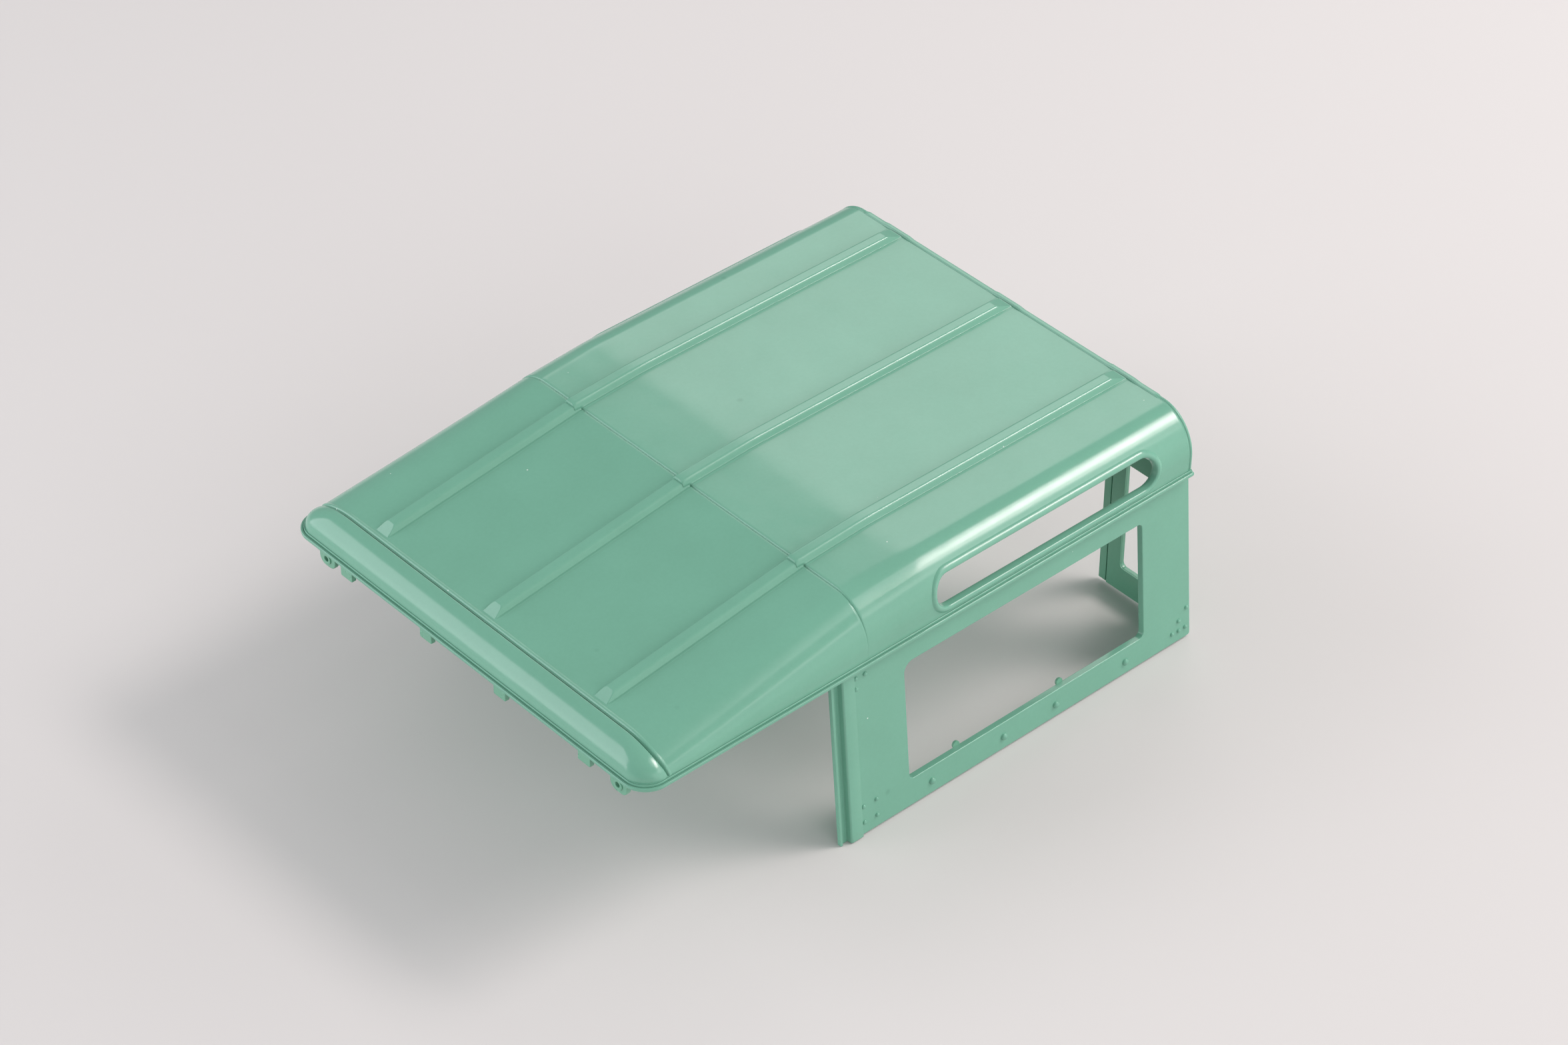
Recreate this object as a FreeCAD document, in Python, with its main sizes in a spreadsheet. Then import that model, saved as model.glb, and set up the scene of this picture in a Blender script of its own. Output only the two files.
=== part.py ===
import FreeCAD, Part
import Sketcher
import math
import os

# Hardtop of a scale off-road vehicle model, moulded in one colour.
# +X points to the front of the vehicle, +Y to its left, +Z up, millimetres.
# Drawing coordinates start at the rear end (x = 0), on the centre plane (y = 0)
# and at the bottom edge of the side panels (z = 0). Every sub-part's Placement
# then moves it by shift_fwd and lift_up, so that the origin is the centre of the
# footprint of the whole part, on the surface that it stands on.

V = FreeCAD.Vector
doc = FreeCAD.newDocument("hardtop")

# ---------------------------------------------------------------- dimensions
sheet = doc.addObject("Spreadsheet::Sheet", "Dims")
DIMS = [
    ("shift_fwd", -105.47), ("lift_up", 0.6),
    # overall
    ("total_len", 210.94), ("wall", 2.2), ("seat_z", 58.84), ("skin_foot_z", 60.0),
    ("skin_half", 76.2), ("roof_z", 78.65),
    # corner ellipse of the roof section, rear and front ends
    ("corner_wide_rear", 12.7), ("corner_tall_rear", 14.15),
    ("corner_wide_front", 17.0), ("corner_tall_front", 8.36),
    # stations along the roof
    ("edge_len", 1.9), ("bend_x", 105.0), ("seam_x", 128.3), ("groove_x", 202.0),
    ("seam_z", 77.4), ("seam_step", 0.35), ("groove_z", 67.2),
    # ribs
    ("rib_pitch", 47.63), ("rib_half_base", 2.2), ("rib_half_top", 1.4), ("rib_tall", 2.0),
    ("rib_rear_tip", 1.9), ("rib_rear_ramp", 7.4), ("rib_front_tip", 200.1), ("rib_front_ramp", 195.9),
    # alpine slot
    ("slot_rear", 13.9), ("slot_front", 100.3), ("slot_mid_z", 67.3), ("slot_rad", 5.1),
    ("lip_wide", 1.7), ("lip_proud", 0.5),
    # drip rail
    ("rail_in", 72.79), ("rail_out", 77.4), ("bead_in", 76.75), ("bead_top", 60.75),
    # side panel
    ("side_len", 137.3), ("side_top_half", 75.0), ("side_lean", 5.444),
    ("side_tall", 59.106), ("win_rear", 19.5), ("win_front", 114.0), ("win_low", 9.14), ("win_high", 49.82),
    ("win_rad", 2.0), ("tab_tall", 2.2),
    ("tab_wide", 9.0), ("tab_front_rear_x", 107.0), ("tab_front_front_x", 130.0), ("tab_hole_rad", 1.0),
    # door post
    ("post_rear", 132.8), ("post_front", 140.5), ("post_proud", 0.4), ("post_strip_front", 137.3), ("post_rib_drop", 0.9),
    ("post_rib_rear", 139.6), ("post_low", -0.4), ("post_web", 1.6),
    # rear corner panel
    ("corner_thick", 2.0), ("corner_in", 44.2), ("corner_low", 0.6), ("corner_win_in", 52.4),
    ("corner_win_low", 9.3), ("corner_win_high", 48.8), ("corner_win_out_low", 69.4), ("corner_win_out_high", 65.6),
    ("corner_win_rad", 1.6),
    ("door_top_z", 69.0),
    # rivets and pegs
    ("small_rivet_rad", 0.68), ("small_rivet_tall", 0.42), ("sill_rivet_rad", 1.12), ("sill_rivet_tall", 0.62),
    ("peg_rad", 1.5), ("peg_len", 1.6), ("peg_z", 9.9), ("peg_rear_x", 52.07), ("peg_front_x", 93.54),
    ("foot_rear", 10.2), ("foot_front", 13.0), ("foot_low", -0.6), ("foot_tall", 3.0),
    # clip strip under the header
    ("clip_x", 206.45), ("clip_thick", 1.6), ("clip_half", 67.5), ("clip_top", 58.84), ("clip_low", 56.4),
    ("big_tab_low", 50.3), ("big_tab_mid", 63.9), ("big_tab_half", 3.6), ("big_hole_z", 53.2), ("big_hole_rad", 0.9),
    ("small_tab_low", 54.1), ("small_tab_half", 2.6), ("small_tab_a", 52.1), ("small_tab_b", 16.2),
    ("small_tab_x", 208.6), ("small_tab_thick", 1.6), ("shelf_half", 56.0), ("shelf_thick", 0.8),
    # screws
    ("screw_rad", 0.8), ("screw_hole_rad", 0.82), ("screw_len", 9.0), ("screw_head_rad", 1.9), ("screw_head_tall", 1.3),
    ("boss_rad", 2.6), ("boss_low", 57.6), ("boss_y", 68.4), ("boss_rear_x", 111.5), ("boss_front_x", 124.5),
    ("clip_foot_x", 201.4), ("tab_low", 55.8),
]
for row, (name, value) in enumerate(DIMS, start=1):
    cell = "B%d" % row
    sheet.set("A%d" % row, name)
    sheet.set(cell, repr(float(value)))
    sheet.setAlias(cell, name)
doc.recompute()
D = {name: float(sheet.get(name)) for name, _ in DIMS}

PARTS = []          # every sub-part, in order
DX = "Dims.shift_fwd"
DZ = "Dims.lift_up"


def place(obj, rot=None, base=None):
    """Gives a sub-part its Placement: the shift to the footprint's centre."""
    r = rot or FreeCAD.Rotation()
    b = base or V(0, 0, 0)
    obj.Placement = FreeCAD.Placement(V(D["shift_fwd"], 0, D["lift_up"]) + b, r)
    if base is None:
        obj.setExpression("Placement.Base.x", DX)
        obj.setExpression("Placement.Base.z", DZ)


def keep(obj, label):
    obj.Label = label
    PARTS.append(obj)
    return obj


# ---------------------------------------------------------------- helpers
def new_body(label):
    body = doc.addObject("PartDesign::Body", "B_" + label)
    keep(body, label)
    return body


def plane_of(body, role):
    for f in body.Origin.OriginFeatures:
        if f.Role == role:
            return f
    raise RuntimeError(role)


def new_sketch(body, name, role, offset=None, offset_expr=None):
    sk = body.newObject("Sketcher::SketchObject", name)
    sk.AttachmentSupport = [(plane_of(body, role), "")]
    sk.MapMode = "FlatFace"
    if offset is not None:
        sk.AttachmentOffset = FreeCAD.Placement(V(0, 0, offset), FreeCAD.Rotation())
        if offset_expr:
            sk.setExpression("AttachmentOffset.Base.z", offset_expr)
    return sk


def rect(sk, x0, y0, x1, y1, tag):
    """Rectangle from four lines; its two corners are driven by sheet expressions
    given as (value, expression) pairs measured from the sketch origin."""
    c = [(x0[0], y0[0]), (x1[0], y0[0]), (x1[0], y1[0]), (x0[0], y1[0])]
    n = sk.GeometryCount
    for i in range(4):
        a, b = c[i], c[(i + 1) % 4]
        sk.addGeometry(Part.LineSegment(V(a[0], a[1], 0), V(b[0], b[1], 0)), False)
    for i in range(4):
        sk.addConstraint(Sketcher.Constraint("Coincident", n + i, 2, n + (i + 1) % 4, 1))
    sk.addConstraint(Sketcher.Constraint("Horizontal", n))
    sk.addConstraint(Sketcher.Constraint("Horizontal", n + 2))
    sk.addConstraint(Sketcher.Constraint("Vertical", n + 1))
    sk.addConstraint(Sketcher.Constraint("Vertical", n + 3))
    for kind, geo, (val, expr), key in (("DistanceX", n, x0, "x0"), ("DistanceY", n, y0, "y0"),
                                        ("DistanceX", n + 2, x1, "x1"), ("DistanceY", n + 2, y1, "y1")):
        i = sk.addConstraint(Sketcher.Constraint(kind, -1, 1, geo, 1, val))
        sk.renameConstraint(i, tag + key)
        if expr:
            sk.setExpression("Constraints." + tag + key, expr)


def poly(sk, pts, tag):
    """Closed polygon; each vertex is ((x, xexpr), (y, yexpr))."""
    n = sk.GeometryCount
    m = len(pts)
    for i in range(m):
        a, b = pts[i], pts[(i + 1) % m]
        sk.addGeometry(Part.LineSegment(V(a[0][0], a[1][0], 0), V(b[0][0], b[1][0], 0)), False)
    for i in range(m):
        sk.addConstraint(Sketcher.Constraint("Coincident", n + i, 2, n + (i + 1) % m, 1))
    for i in range(m):
        for kind, (val, expr), key in (("DistanceX", pts[i][0], "x"), ("DistanceY", pts[i][1], "y")):
            k = sk.addConstraint(Sketcher.Constraint(kind, -1, 1, n + i, 1, val))
            nm = "%s%s%d" % (tag, key, i)
            sk.renameConstraint(k, nm)
            if expr:
                sk.setExpression("Constraints." + nm, expr)


def circle(sk, x, y, rad, tag):
    n = sk.GeometryCount
    sk.addGeometry(Part.Circle(V(x[0], y[0], 0), V(0, 0, 1), rad[0]), False)
    i = sk.addConstraint(Sketcher.Constraint("Radius", n, rad[0]))
    sk.renameConstraint(i, tag + "r")
    sk.setExpression("Constraints." + tag + "r", rad[1])
    for kind, (val, expr), key in (("DistanceX", x, "x"), ("DistanceY", y, "y")):
        i = sk.addConstraint(Sketcher.Constraint(kind, -1, 1, n, 3, val))
        sk.renameConstraint(i, tag + key)
        if expr:
            sk.setExpression("Constraints." + tag + key, expr)


def pad(body, sk, name, length, expr, reverse=False):
    p = body.newObject("PartDesign::Pad", name)
    p.Profile = sk
    p.Length = length
    if expr:
        p.setExpression("Length", expr)
    p.Reversed = reverse
    body.Tip = p
    return p


def pocket(body, sk, name, through=True):
    """Cuts through the body both ways and proves that it removed material."""
    doc.recompute()
    before = body.Shape.Volume
    p = body.newObject("PartDesign::Pocket", name)
    p.Profile = sk
    p.Type = 1
    p.Midplane = True
    body.Tip = p
    doc.recompute()
    if not body.Shape.Volume < before - 1e-3:
        raise RuntimeError("pocket %s cut nothing" % name)
    return p


def dim(name, sign=1):
    return (sign * D[name], ("Dims." if sign > 0 else "-Dims.") + name)


def mirror(src, label):
    m = doc.addObject("Part::Mirroring", "M_" + label)
    m.Source = src
    m.Normal = V(0, 1, 0)
    m.Base = V(0, 0, 0)
    keep(m, label)
    return m


def feature(label, shape):
    """A sub-part whose curved shape is worked out here from the sheet's values."""
    f = doc.addObject("Part::Feature", "F_" + label)
    f.Shape = shape
    place(f)
    keep(f, label)
    return f


# ---------------------------------------------------------------- roof section
def lerp(a, b, t):
    return a + (b - a) * t


def station(x):
    """Top height, corner width and corner height of the outer section at x."""
    bx, sx, gx = D["bend_x"], D["seam_x"], D["groove_x"]
    if x <= bx:
        return D["roof_z"], D["corner_wide_rear"], D["corner_tall_rear"]
    t = (x - bx) / (gx - bx)
    wide = lerp(D["corner_wide_rear"], D["corner_wide_front"], t)
    low = lerp(D["roof_z"] - D["corner_tall_rear"], D["groove_z"] - D["corner_tall_front"], t)
    if x <= sx:
        top = lerp(D["roof_z"], D["seam_z"], (x - bx) / (sx - bx))
    else:
        top = lerp(D["seam_z"] - D["seam_step"], D["groove_z"], (x - sx) / (gx - sx))
    return top, wide, top - low


def section(x, off, foot, top=None, wide=None, tall=None, half=None):
    """Closed wire of the roof section at x, offset outward by off, closed along z = foot."""
    st, sw, sh = station(x)
    top = st if top is None else top
    wide = sw if wide is None else wide
    tall = sh if tall is None else tall
    half = D["skin_half"] if half is None else half
    ry, rz = wide + off, tall + off
    zt, yh = top + off, half + off
    cy, cz = half - wide, top - tall
    if cz < foot + 0.05:
        cz = foot + 0.05
        rz = zt - cz
    rows = []
    for side in (1, -1):
        pts = []
        for k in range(13):
            a = math.pi / 2 * k / 12.0
            pts.append(V(x, side * (cy + ry * math.sin(a)), cz + rz * math.cos(a)))
        rows.append(pts)
    left = Part.BSplineCurve()
    left.interpolate(rows[0])
    right = Part.BSplineCurve()
    right.interpolate(list(reversed(rows[1])))
    a0, a1 = rows[0][0], rows[0][-1]
    b0, b1 = rows[1][0], rows[1][-1]
    edges = [Part.makeLine(b0, a0), left.toShape(), Part.makeLine(a1, V(x, a1.y, foot)),
             Part.makeLine(V(x, a1.y, foot), V(x, b1.y, foot)), Part.makeLine(V(x, b1.y, foot), b1),
             right.toShape()]
    return Part.Wire(Part.__sortEdges__(edges))


def loft(wires):
    s = Part.makeLoft(wires, True, True)
    if not s.isValid():
        s.fix(1e-5, 1e-5, 1e-5)
    return s


def skin(x0, x1, off_out, off_in, foot, mids=()):
    xs = [x0] + list(mids) + [x1]
    outer = None
    for a, b in zip(xs[:-1], xs[1:]):
        seg = loft([section(a, off_out, foot), section(b, off_out, foot)])
        outer = seg if outer is None else outer.fuse(seg)
    inner = None
    for i, (a, b) in enumerate(zip(xs[:-1], xs[1:])):
        seg = loft([section(a, off_in, foot - 3), section(b, off_in, foot - 3)])
        inner = seg if inner is None else inner.fuse(seg)
    return outer.cut(inner)


def rib(y, pts, grow=0.0):
    """A rib with drafted sides: the height line pts [(x, z)] on a trapezoid section."""
    hb, ht = D["rib_half_base"] + grow, D["rib_half_top"] + grow
    face = Part.Face(Part.makePolygon([V(x, y - hb, z) for x, z in pts] + [V(pts[0][0], y - hb, pts[0][1])]))
    return face.extrude(V(0, 2 * hb, 0))


def stadium(x0, x1, zc, rad, y0, y1):
    a, b = x0 + rad, x1 - rad
    box = Part.makeBox(b - a, y1 - y0, 2 * rad, V(a, y0, zc - rad))
    c0 = Part.makeCylinder(rad, y1 - y0, V(a, y0, zc), V(0, 1, 0))
    c1 = Part.makeCylinder(rad, y1 - y0, V(b, y0, zc), V(0, 1, 0))
    return box.fuse([c0, c1])


W = D["wall"]
foot = D["skin_foot_z"]
e = D["edge_len"]

# rear roof panel: flat skin, the bend, ribs, slots with lips, screw bosses
body = skin(e, D["seam_x"], 0.0, -W, foot, mids=(D["bend_x"],))
for k in (-1, 0, 1):
    y = k * D["rib_pitch"]
    t = D["rib_tall"]
    pts = [(D["rib_rear_tip"], D["roof_z"] - 0.6), (D["rib_rear_tip"], D["roof_z"] + 0.15),
           (D["rib_rear_ramp"], D["roof_z"] + t), (D["bend_x"], D["roof_z"] + t),
           (D["seam_x"], D["seam_z"] + t), (D["seam_x"], D["seam_z"] - 0.6), (D["bend_x"], D["roof_z"] - 0.6)]
    body = body.fuse(rib(y, pts))
band = loft([section(8.0, D["lip_proud"], foot), section(104.0, D["lip_proud"], foot)]).cut(
    loft([section(8.0, -1.0, foot - 3), section(104.0, -1.0, foot - 3)]))
for side in (1, -1):
    y0, y1 = (60.0, 90.0) if side > 0 else (-90.0, -60.0)
    lip = band.common(stadium(D["slot_rear"] - D["lip_wide"], D["slot_front"] + D["lip_wide"], D["slot_mid_z"],
                              D["slot_rad"] + D["lip_wide"], y0, y1))
    lip = lip.common(Part.makeBox(130, 200, 40, V(0, -100, foot)))
    body = body.fuse(lip)
for side in (1, -1):
    y0, y1 = (60.0, 90.0) if side > 0 else (-90.0, -60.0)
    body = body.cut(stadium(D["slot_rear"], D["slot_front"], D["slot_mid_z"], D["slot_rad"], y0, y1))
for side in (1, -1):
    for bx in (D["boss_rear_x"], D["boss_front_x"]):
        boss = Part.makeCylinder(D["boss_rad"], 18.0, V(bx, side * D["boss_y"], D["boss_low"]))
        trim = loft([section(e, -1.0, D["seat_z"] - 2), section(D["bend_x"], -1.0, D["seat_z"] - 2)]).fuse(
            loft([section(D["bend_x"], -1.0, D["seat_z"] - 2), section(D["seam_x"], -1.0, D["seat_z"] - 2)]))
        body = body.fuse(boss.common(trim))
        body = body.cut(Part.makeCylinder(D["screw_hole_rad"], 9.5, V(bx, side * D["boss_y"], D["boss_low"] - 0.5)))
body = body.removeSplitter()
feature("rear_roof_panel", body)

# front roof panel: sloping skin with ribs that end in ramps
body = skin(D["seam_x"], D["groove_x"], 0.0, -W, foot)
slope = (D["groove_z"] - (D["seam_z"] - D["seam_step"])) / (D["groove_x"] - D["seam_x"])


def front_z(x):
    return D["seam_z"] - D["seam_step"] + slope * (x - D["seam_x"])


for k in (-1, 0, 1):
    y = k * D["rib_pitch"]
    t = D["rib_tall"] - 0.15
    sx, rx, tx = D["seam_x"], D["rib_front_ramp"], D["rib_front_tip"]
    pts = [(sx, front_z(sx) - 0.6), (sx, front_z(sx) + t), (rx, front_z(rx) + t), (tx, front_z(tx) + 0.15),
           (tx, front_z(tx) - 0.6)]
    body = body.fuse(rib(y, pts))
body = body.removeSplitter()
feature("front_roof_panel", body)

# windscreen header: rounded nose from the groove down to the front trough
NOSE = [(202.0, 67.2, 76.2, 17.0), (204.6, 66.55, 76.0, 17.0), (206.6, 65.3, 75.4, 17.0),
        (208.0, 63.6, 74.4, 17.0), (208.9, 61.6, 73.0, 17.0), (209.2, 60.05, 71.6, 17.0)]


def nose(off, zf):
    wires = []
    for x, z, half, wide in NOSE:
        x = x if off == 0 else min(x, 209.2 + off)
        tall = max(z - D["seat_z"], 1.3)
        wires.append(section(x, off, zf, top=z, wide=wide, tall=min(tall, z + off - zf - 0.02 - off), half=half))
    solid = None
    for a, b in zip(wires[:-1], wires[1:]):
        seg = loft([a, b])
        solid = seg if solid is None else solid.fuse(seg)
    return solid


NOSE[0] = (D["groove_x"], D["groove_z"], D["skin_half"], D["corner_wide_front"])
outer_nose = nose(0.0, foot)
INNER = [(D["groove_x"], 65.0, 74.0, 15.0), (204.2, 64.2, 73.6, 15.0), (206.0, 62.6, 72.6, 15.0),
         (207.0, 60.9, 71.0, 15.0)]
wires = [section(x, 0.0, foot - 3, top=z, wide=wd, tall=z - foot + 2.9, half=hf) for x, z, hf, wd in INNER]
inner_nose = None
for a, b in zip(wires[:-1], wires[1:]):
    seg = loft([a, b])
    inner_nose = seg if inner_nose is None else inner_nose.fuse(seg)
body = outer_nose.cut(inner_nose).removeSplitter()
feature("windscreen_header", body)

# front drip rail: trough and rim round the nose, with rounded corners
R = 8.0


def rounded_front(half, xf, xr, rad, z0, z1):
    """Plate from xr to xf, half wide each side, with rounded front corners."""
    p = [V(xr, -half, z0), V(xf - rad, -half, z0), V(xf, -half + rad, z0), V(xf, half - rad, z0),
         V(xf - rad, half, z0), V(xr, half, z0)]
    q = rad * (1 - math.sqrt(0.5))
    m0 = V(xf - q, -half + q, z0)
    m1 = V(xf - q, half - q, z0)
    ed = [Part.makeLine(p[0], p[1]), Part.Arc(p[1], m0, p[2]).toShape(), Part.makeLine(p[2], p[3]),
          Part.Arc(p[3], m1, p[4]).toShape(), Part.makeLine(p[4], p[5]), Part.makeLine(p[5], p[0])]
    return Part.Face(Part.Wire(ed)).extrude(V(0, 0, z1 - z0))


xr = D["groove_x"]
plate = rounded_front(D["rail_out"], D["total_len"], xr, R, D["seat_z"], foot)
rim = rounded_front(D["rail_out"], D["total_len"], xr, R, foot, D["bead_top"]).cut(
    rounded_front(D["bead_in"], D["total_len"] - (D["rail_out"] - D["bead_in"]), xr - 1, R - 0.65, foot - 1, D["bead_top"] + 1))
hole = rounded_front(D["rail_in"], D["total_len"] - (D["rail_out"] - D["rail_in"]), xr - 1, R - 4.4, D["seat_z"] - 1, foot + 1)
body = plate.cut(hole).fuse(rim).removeSplitter()
feature("front_drip_rail", body)

# rear roof edge: band round the rear end with three pads
ring = loft([section(0.0, 0.25, foot), section(e, 0.25, foot)]).cut(
    loft([section(0.0, -W, foot - 3), section(e, -W, foot - 3)]))
for k in (-1, 0, 1):
    ring = ring.fuse(Part.makeBox(e, 11.28, 1.0, V(0, k * D["rib_pitch"] - 5.64, D["roof_z"] - 0.3)))
feature("rear_roof_edge", ring.removeSplitter())

# rear header panel: inside the roof edge, above the rear door opening
plate = loft([section(0.0, -W, D["seat_z"]), section(D["corner_thick"] - 0.1, -W, D["seat_z"])])
door = Part.makeBox(10, 2 * D["corner_in"], D["door_top_z"] - D["seat_z"] + 5, V(-2, -D["corner_in"], D["seat_z"] - 5))
body = plate.cut(door)
body = body.cut(Part.makeBox(10, 10, 1.16, V(-2, D["rail_in"], D["seat_z"]))).cut(
    Part.makeBox(10, 10, 1.16, V(-2, -D["rail_in"] - 10, D["seat_z"])))
feature("rear_header_panel", body.removeSplitter())

# ---------------------------------------------------------------- drip rails
body = new_body("left_drip_rail")
sk = new_sketch(body, "left_rail_section", "YZ_Plane")
P = [(dim("rail_in"), dim("seat_z")), (dim("rail_out"), dim("seat_z")), (dim("rail_out"), dim("bead_top")),
     (dim("bead_in"), dim("bead_top")), (dim("bead_in"), dim("skin_foot_z")), (dim("rail_in"), dim("skin_foot_z"))]
poly(sk, P, "p")
pad(body, sk, "left_rail_pad", D["groove_x"], "Dims.groove_x")
place(body)
doc.recompute()
left_rail = body

# ---------------------------------------------------------------- side panel (drawn flat, then leaned)
lean = math.radians(D["side_lean"])
# the panel's outer face passes through the top edge (side_top_half, seat_z) and leans outward downwards
LEAN_ROT = FreeCAD.Rotation(V(1, 0, 0), D["side_lean"])
# In the flat drawing: local x forward, local z up along the panel, local y outward (outer face at y = 0).
top_pt = V(0, D["side_top_half"], D["seat_z"])
local_top = V(0, 0, D["side_tall"])
LEAN_BASE = top_pt - LEAN_ROT.multVec(local_top)


def lean_place(obj):
    obj.Placement = FreeCAD.Placement(V(D["shift_fwd"], 0, D["lift_up"]) + LEAN_BASE, LEAN_ROT)
    obj.setExpression("Placement.Base.x", DX)
    obj.setExpression("Placement.Rotation.Angle", "Dims.side_lean")


body = new_body("left_side_panel")
sk = new_sketch(body, "left_side_outline", "XZ_Plane")
rect(sk, (0, None), (0, None), dim("side_len"), dim("side_tall"), "o")
pad(body, sk, "left_side_pad", D["wall"], "Dims.wall")
doc.recompute()
sk = new_sketch(body, "left_side_window", "XZ_Plane")
rect(sk, dim("win_rear"), dim("win_low"), dim("win_front"), dim("win_high"), "w")
sk.recompute()
pocket(body, sk, "left_side_window_cut")
# round the window's corners
names = []
for i, ed in enumerate(body.Tip.Shape.Edges, start=1):
    if len(ed.Vertexes) == 2:
        a, b = ed.Vertexes[0].Point, ed.Vertexes[1].Point
        if abs(a.x - b.x) < 1e-6 and abs(a.z - b.z) < 1e-6 and 1 < a.x < D["side_len"] - 1 and 1 < a.z < D["side_tall"] - 1:
            names.append("Edge%d" % i)
tip = body.Tip
fil = body.newObject("PartDesign::Fillet", "left_side_window_corners")
fil.Base = (tip, names)
fil.Radius = D["win_rad"]
fil.setExpression("Radius", "Dims.win_rad")
body.Tip = fil
doc.recompute()
# top tab that carries the roof screws
sk = new_sketch(body, "left_side_tab", "XY_Plane", D["side_tall"] - D["tab_tall"], "Dims.side_tall - Dims.tab_tall")
rect(sk, dim("tab_front_rear_x"), (-D["wall"] - D["tab_wide"], "-Dims.wall - Dims.tab_wide"),
     dim("tab_front_front_x"), (-1.0, "-1"), "t")
pad(body, sk, "left_side_tab_pad", D["tab_tall"] - 0.9, "Dims.tab_tall - 0.9")
sk = new_sketch(body, "left_side_tab_holes", "XY_Plane", D["side_tall"] - D["tab_tall"], "Dims.side_tall - Dims.tab_tall")
HOLE_Y = -(D["side_top_half"] - D["boss_y"]) / math.cos(lean)
circle(sk, dim("boss_rear_x"), (HOLE_Y, None), dim("tab_hole_rad"), "a")
circle(sk, dim("boss_front_x"), (HOLE_Y, None), dim("tab_hole_rad"), "b")
pocket(body, sk, "left_side_tab_cut")
lean_place(body)
doc.recompute()
left_side = body

# ---------------------------------------------------------------- door post (same lean)
body = new_body("left_door_post")
sk = new_sketch(body, "left_post_section", "XY_Plane", D["post_low"], "Dims.post_low")
zt = D["side_tall"] - D["post_low"] - 0.1
P = [(dim("side_len"), (0.0, None)), (dim("side_len"), (-D["wall"], "-Dims.wall")),
     (dim("post_front"), (-D["wall"], "-Dims.wall")), (dim("post_front"), (-D["post_rib_drop"], "-Dims.post_rib_drop")),
     (dim("post_rib_rear"), (-D["post_rib_drop"], "-Dims.post_rib_drop")), (dim("post_rib_rear"), (-D["post_web"], "-Dims.post_web")),
     ((D["side_len"] + 0.25, "Dims.side_len + 0.25"), (-D["post_web"], "-Dims.post_web")),
     ((D["side_len"] + 0.25, "Dims.side_len + 0.25"), dim("post_proud")), (dim("post_rear"), dim("post_proud")),
     (dim("post_rear"), (0.0, None))]
poly(sk, P, "p")
pad(body, sk, "left_post_pad", zt, "Dims.side_tall - Dims.post_low - 0.1")
lean_place(body)
doc.recompute()
left_post = body

# ---------------------------------------------------------------- rear corner panel
lean_t = math.tan(lean)
inner_top = D["side_top_half"] - D["wall"] / math.cos(lean)
body = new_body("left_rear_corner_panel")
sk = new_sketch(body, "left_corner_outline", "YZ_Plane")


def in_y(z):
    v = inner_top + lean_t * (D["seat_z"] - z)
    return (v, None)


P = [(dim("corner_in"), dim("corner_low")), (in_y(D["corner_low"]), dim("corner_low")),
     (in_y(D["seat_z"]), dim("seat_z")), (dim("corner_in"), dim("seat_z"))]
poly(sk, P, "p")
pad(body, sk, "left_corner_pad", D["corner_thick"], "Dims.corner_thick")
doc.recompute()
sk = new_sketch(body, "left_corner_window", "YZ_Plane")
P = [(dim("corner_win_in"), dim("corner_win_low")), (dim("corner_win_out_low"), dim("corner_win_low")),
     (dim("corner_win_out_high"), dim("corner_win_high")), (dim("corner_win_in"), dim("corner_win_high"))]
poly(sk, P, "w")
sk.recompute()
pocket(body, sk, "left_corner_window_cut")
names = []
for i, ed in enumerate(body.Tip.Shape.Edges, start=1):
    if len(ed.Vertexes) == 2:
        a, b = ed.Vertexes[0].Point, ed.Vertexes[1].Point
        if abs(a.y - b.y) < 1e-6 and abs(a.z - b.z) < 1e-6 and 50 < a.y < 72 and 5 < a.z < 55:
            names.append("Edge%d" % i)
tip = body.Tip
fil = body.newObject("PartDesign::Fillet", "left_corner_window_corners")
fil.Base = (tip, names)
fil.Radius = D["corner_win_rad"]
fil.setExpression("Radius", "Dims.corner_win_rad")
body.Tip = fil
doc.recompute()
# raised door-seal lip along the door opening
sk = new_sketch(body, "left_corner_lip", "YZ_Plane", D["corner_thick"] - 0.2, "Dims.corner_thick - 0.2")
rect(sk, dim("corner_in"), (D["corner_low"] + 1.2, "Dims.corner_low + 1.2"), (D["corner_in"] + 2.6, "Dims.corner_in + 2.6"),
     dim("seat_z"), "l")
pad(body, sk, "left_corner_lip_pad", 1.0, None)
place(body)
doc.recompute()
left_corner = body

# ---------------------------------------------------------------- rivets: low domes seated on the outer face
def rivet_group(label, spots, rad_name, tall_name):
    caps = []
    for i, (x, z) in enumerate(spots):
        rad, tall = D[rad_name], D[tall_name]
        ball = doc.addObject("Part::Sphere", "%s_ball%d" % (label, i))
        ball.Radius = (rad * rad + tall * tall) / (2 * tall)
        ball.setExpression("Radius", "(Dims.{0} * Dims.{0} + Dims.{1} * Dims.{1}) / (2 * Dims.{1})".format(rad_name, tall_name))
        ball.Placement = FreeCAD.Placement(V(x, tall - float(ball.Radius), z), FreeCAD.Rotation())
        ball.setExpression("Placement.Base.y",
                           "Dims.{1} - (Dims.{0} * Dims.{0} + Dims.{1} * Dims.{1}) / (2 * Dims.{1})".format(rad_name, tall_name))
        slab = doc.addObject("Part::Box", "%s_slab%d" % (label, i))
        slab.Length, slab.Width, slab.Height = 6, 3, 6
        slab.Placement = FreeCAD.Placement(V(x - 3, 0, z - 3), FreeCAD.Rotation())
        cap = doc.addObject("Part::Common", "%s_cap%d" % (label, i))
        cap.Base, cap.Tool = ball, slab
        caps.append(cap)
    comp = doc.addObject("Part::Compound", "C_" + label)
    comp.Links = caps
    keep(comp, label)
    lean_place(comp)
    doc.recompute()
    return comp


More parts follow.
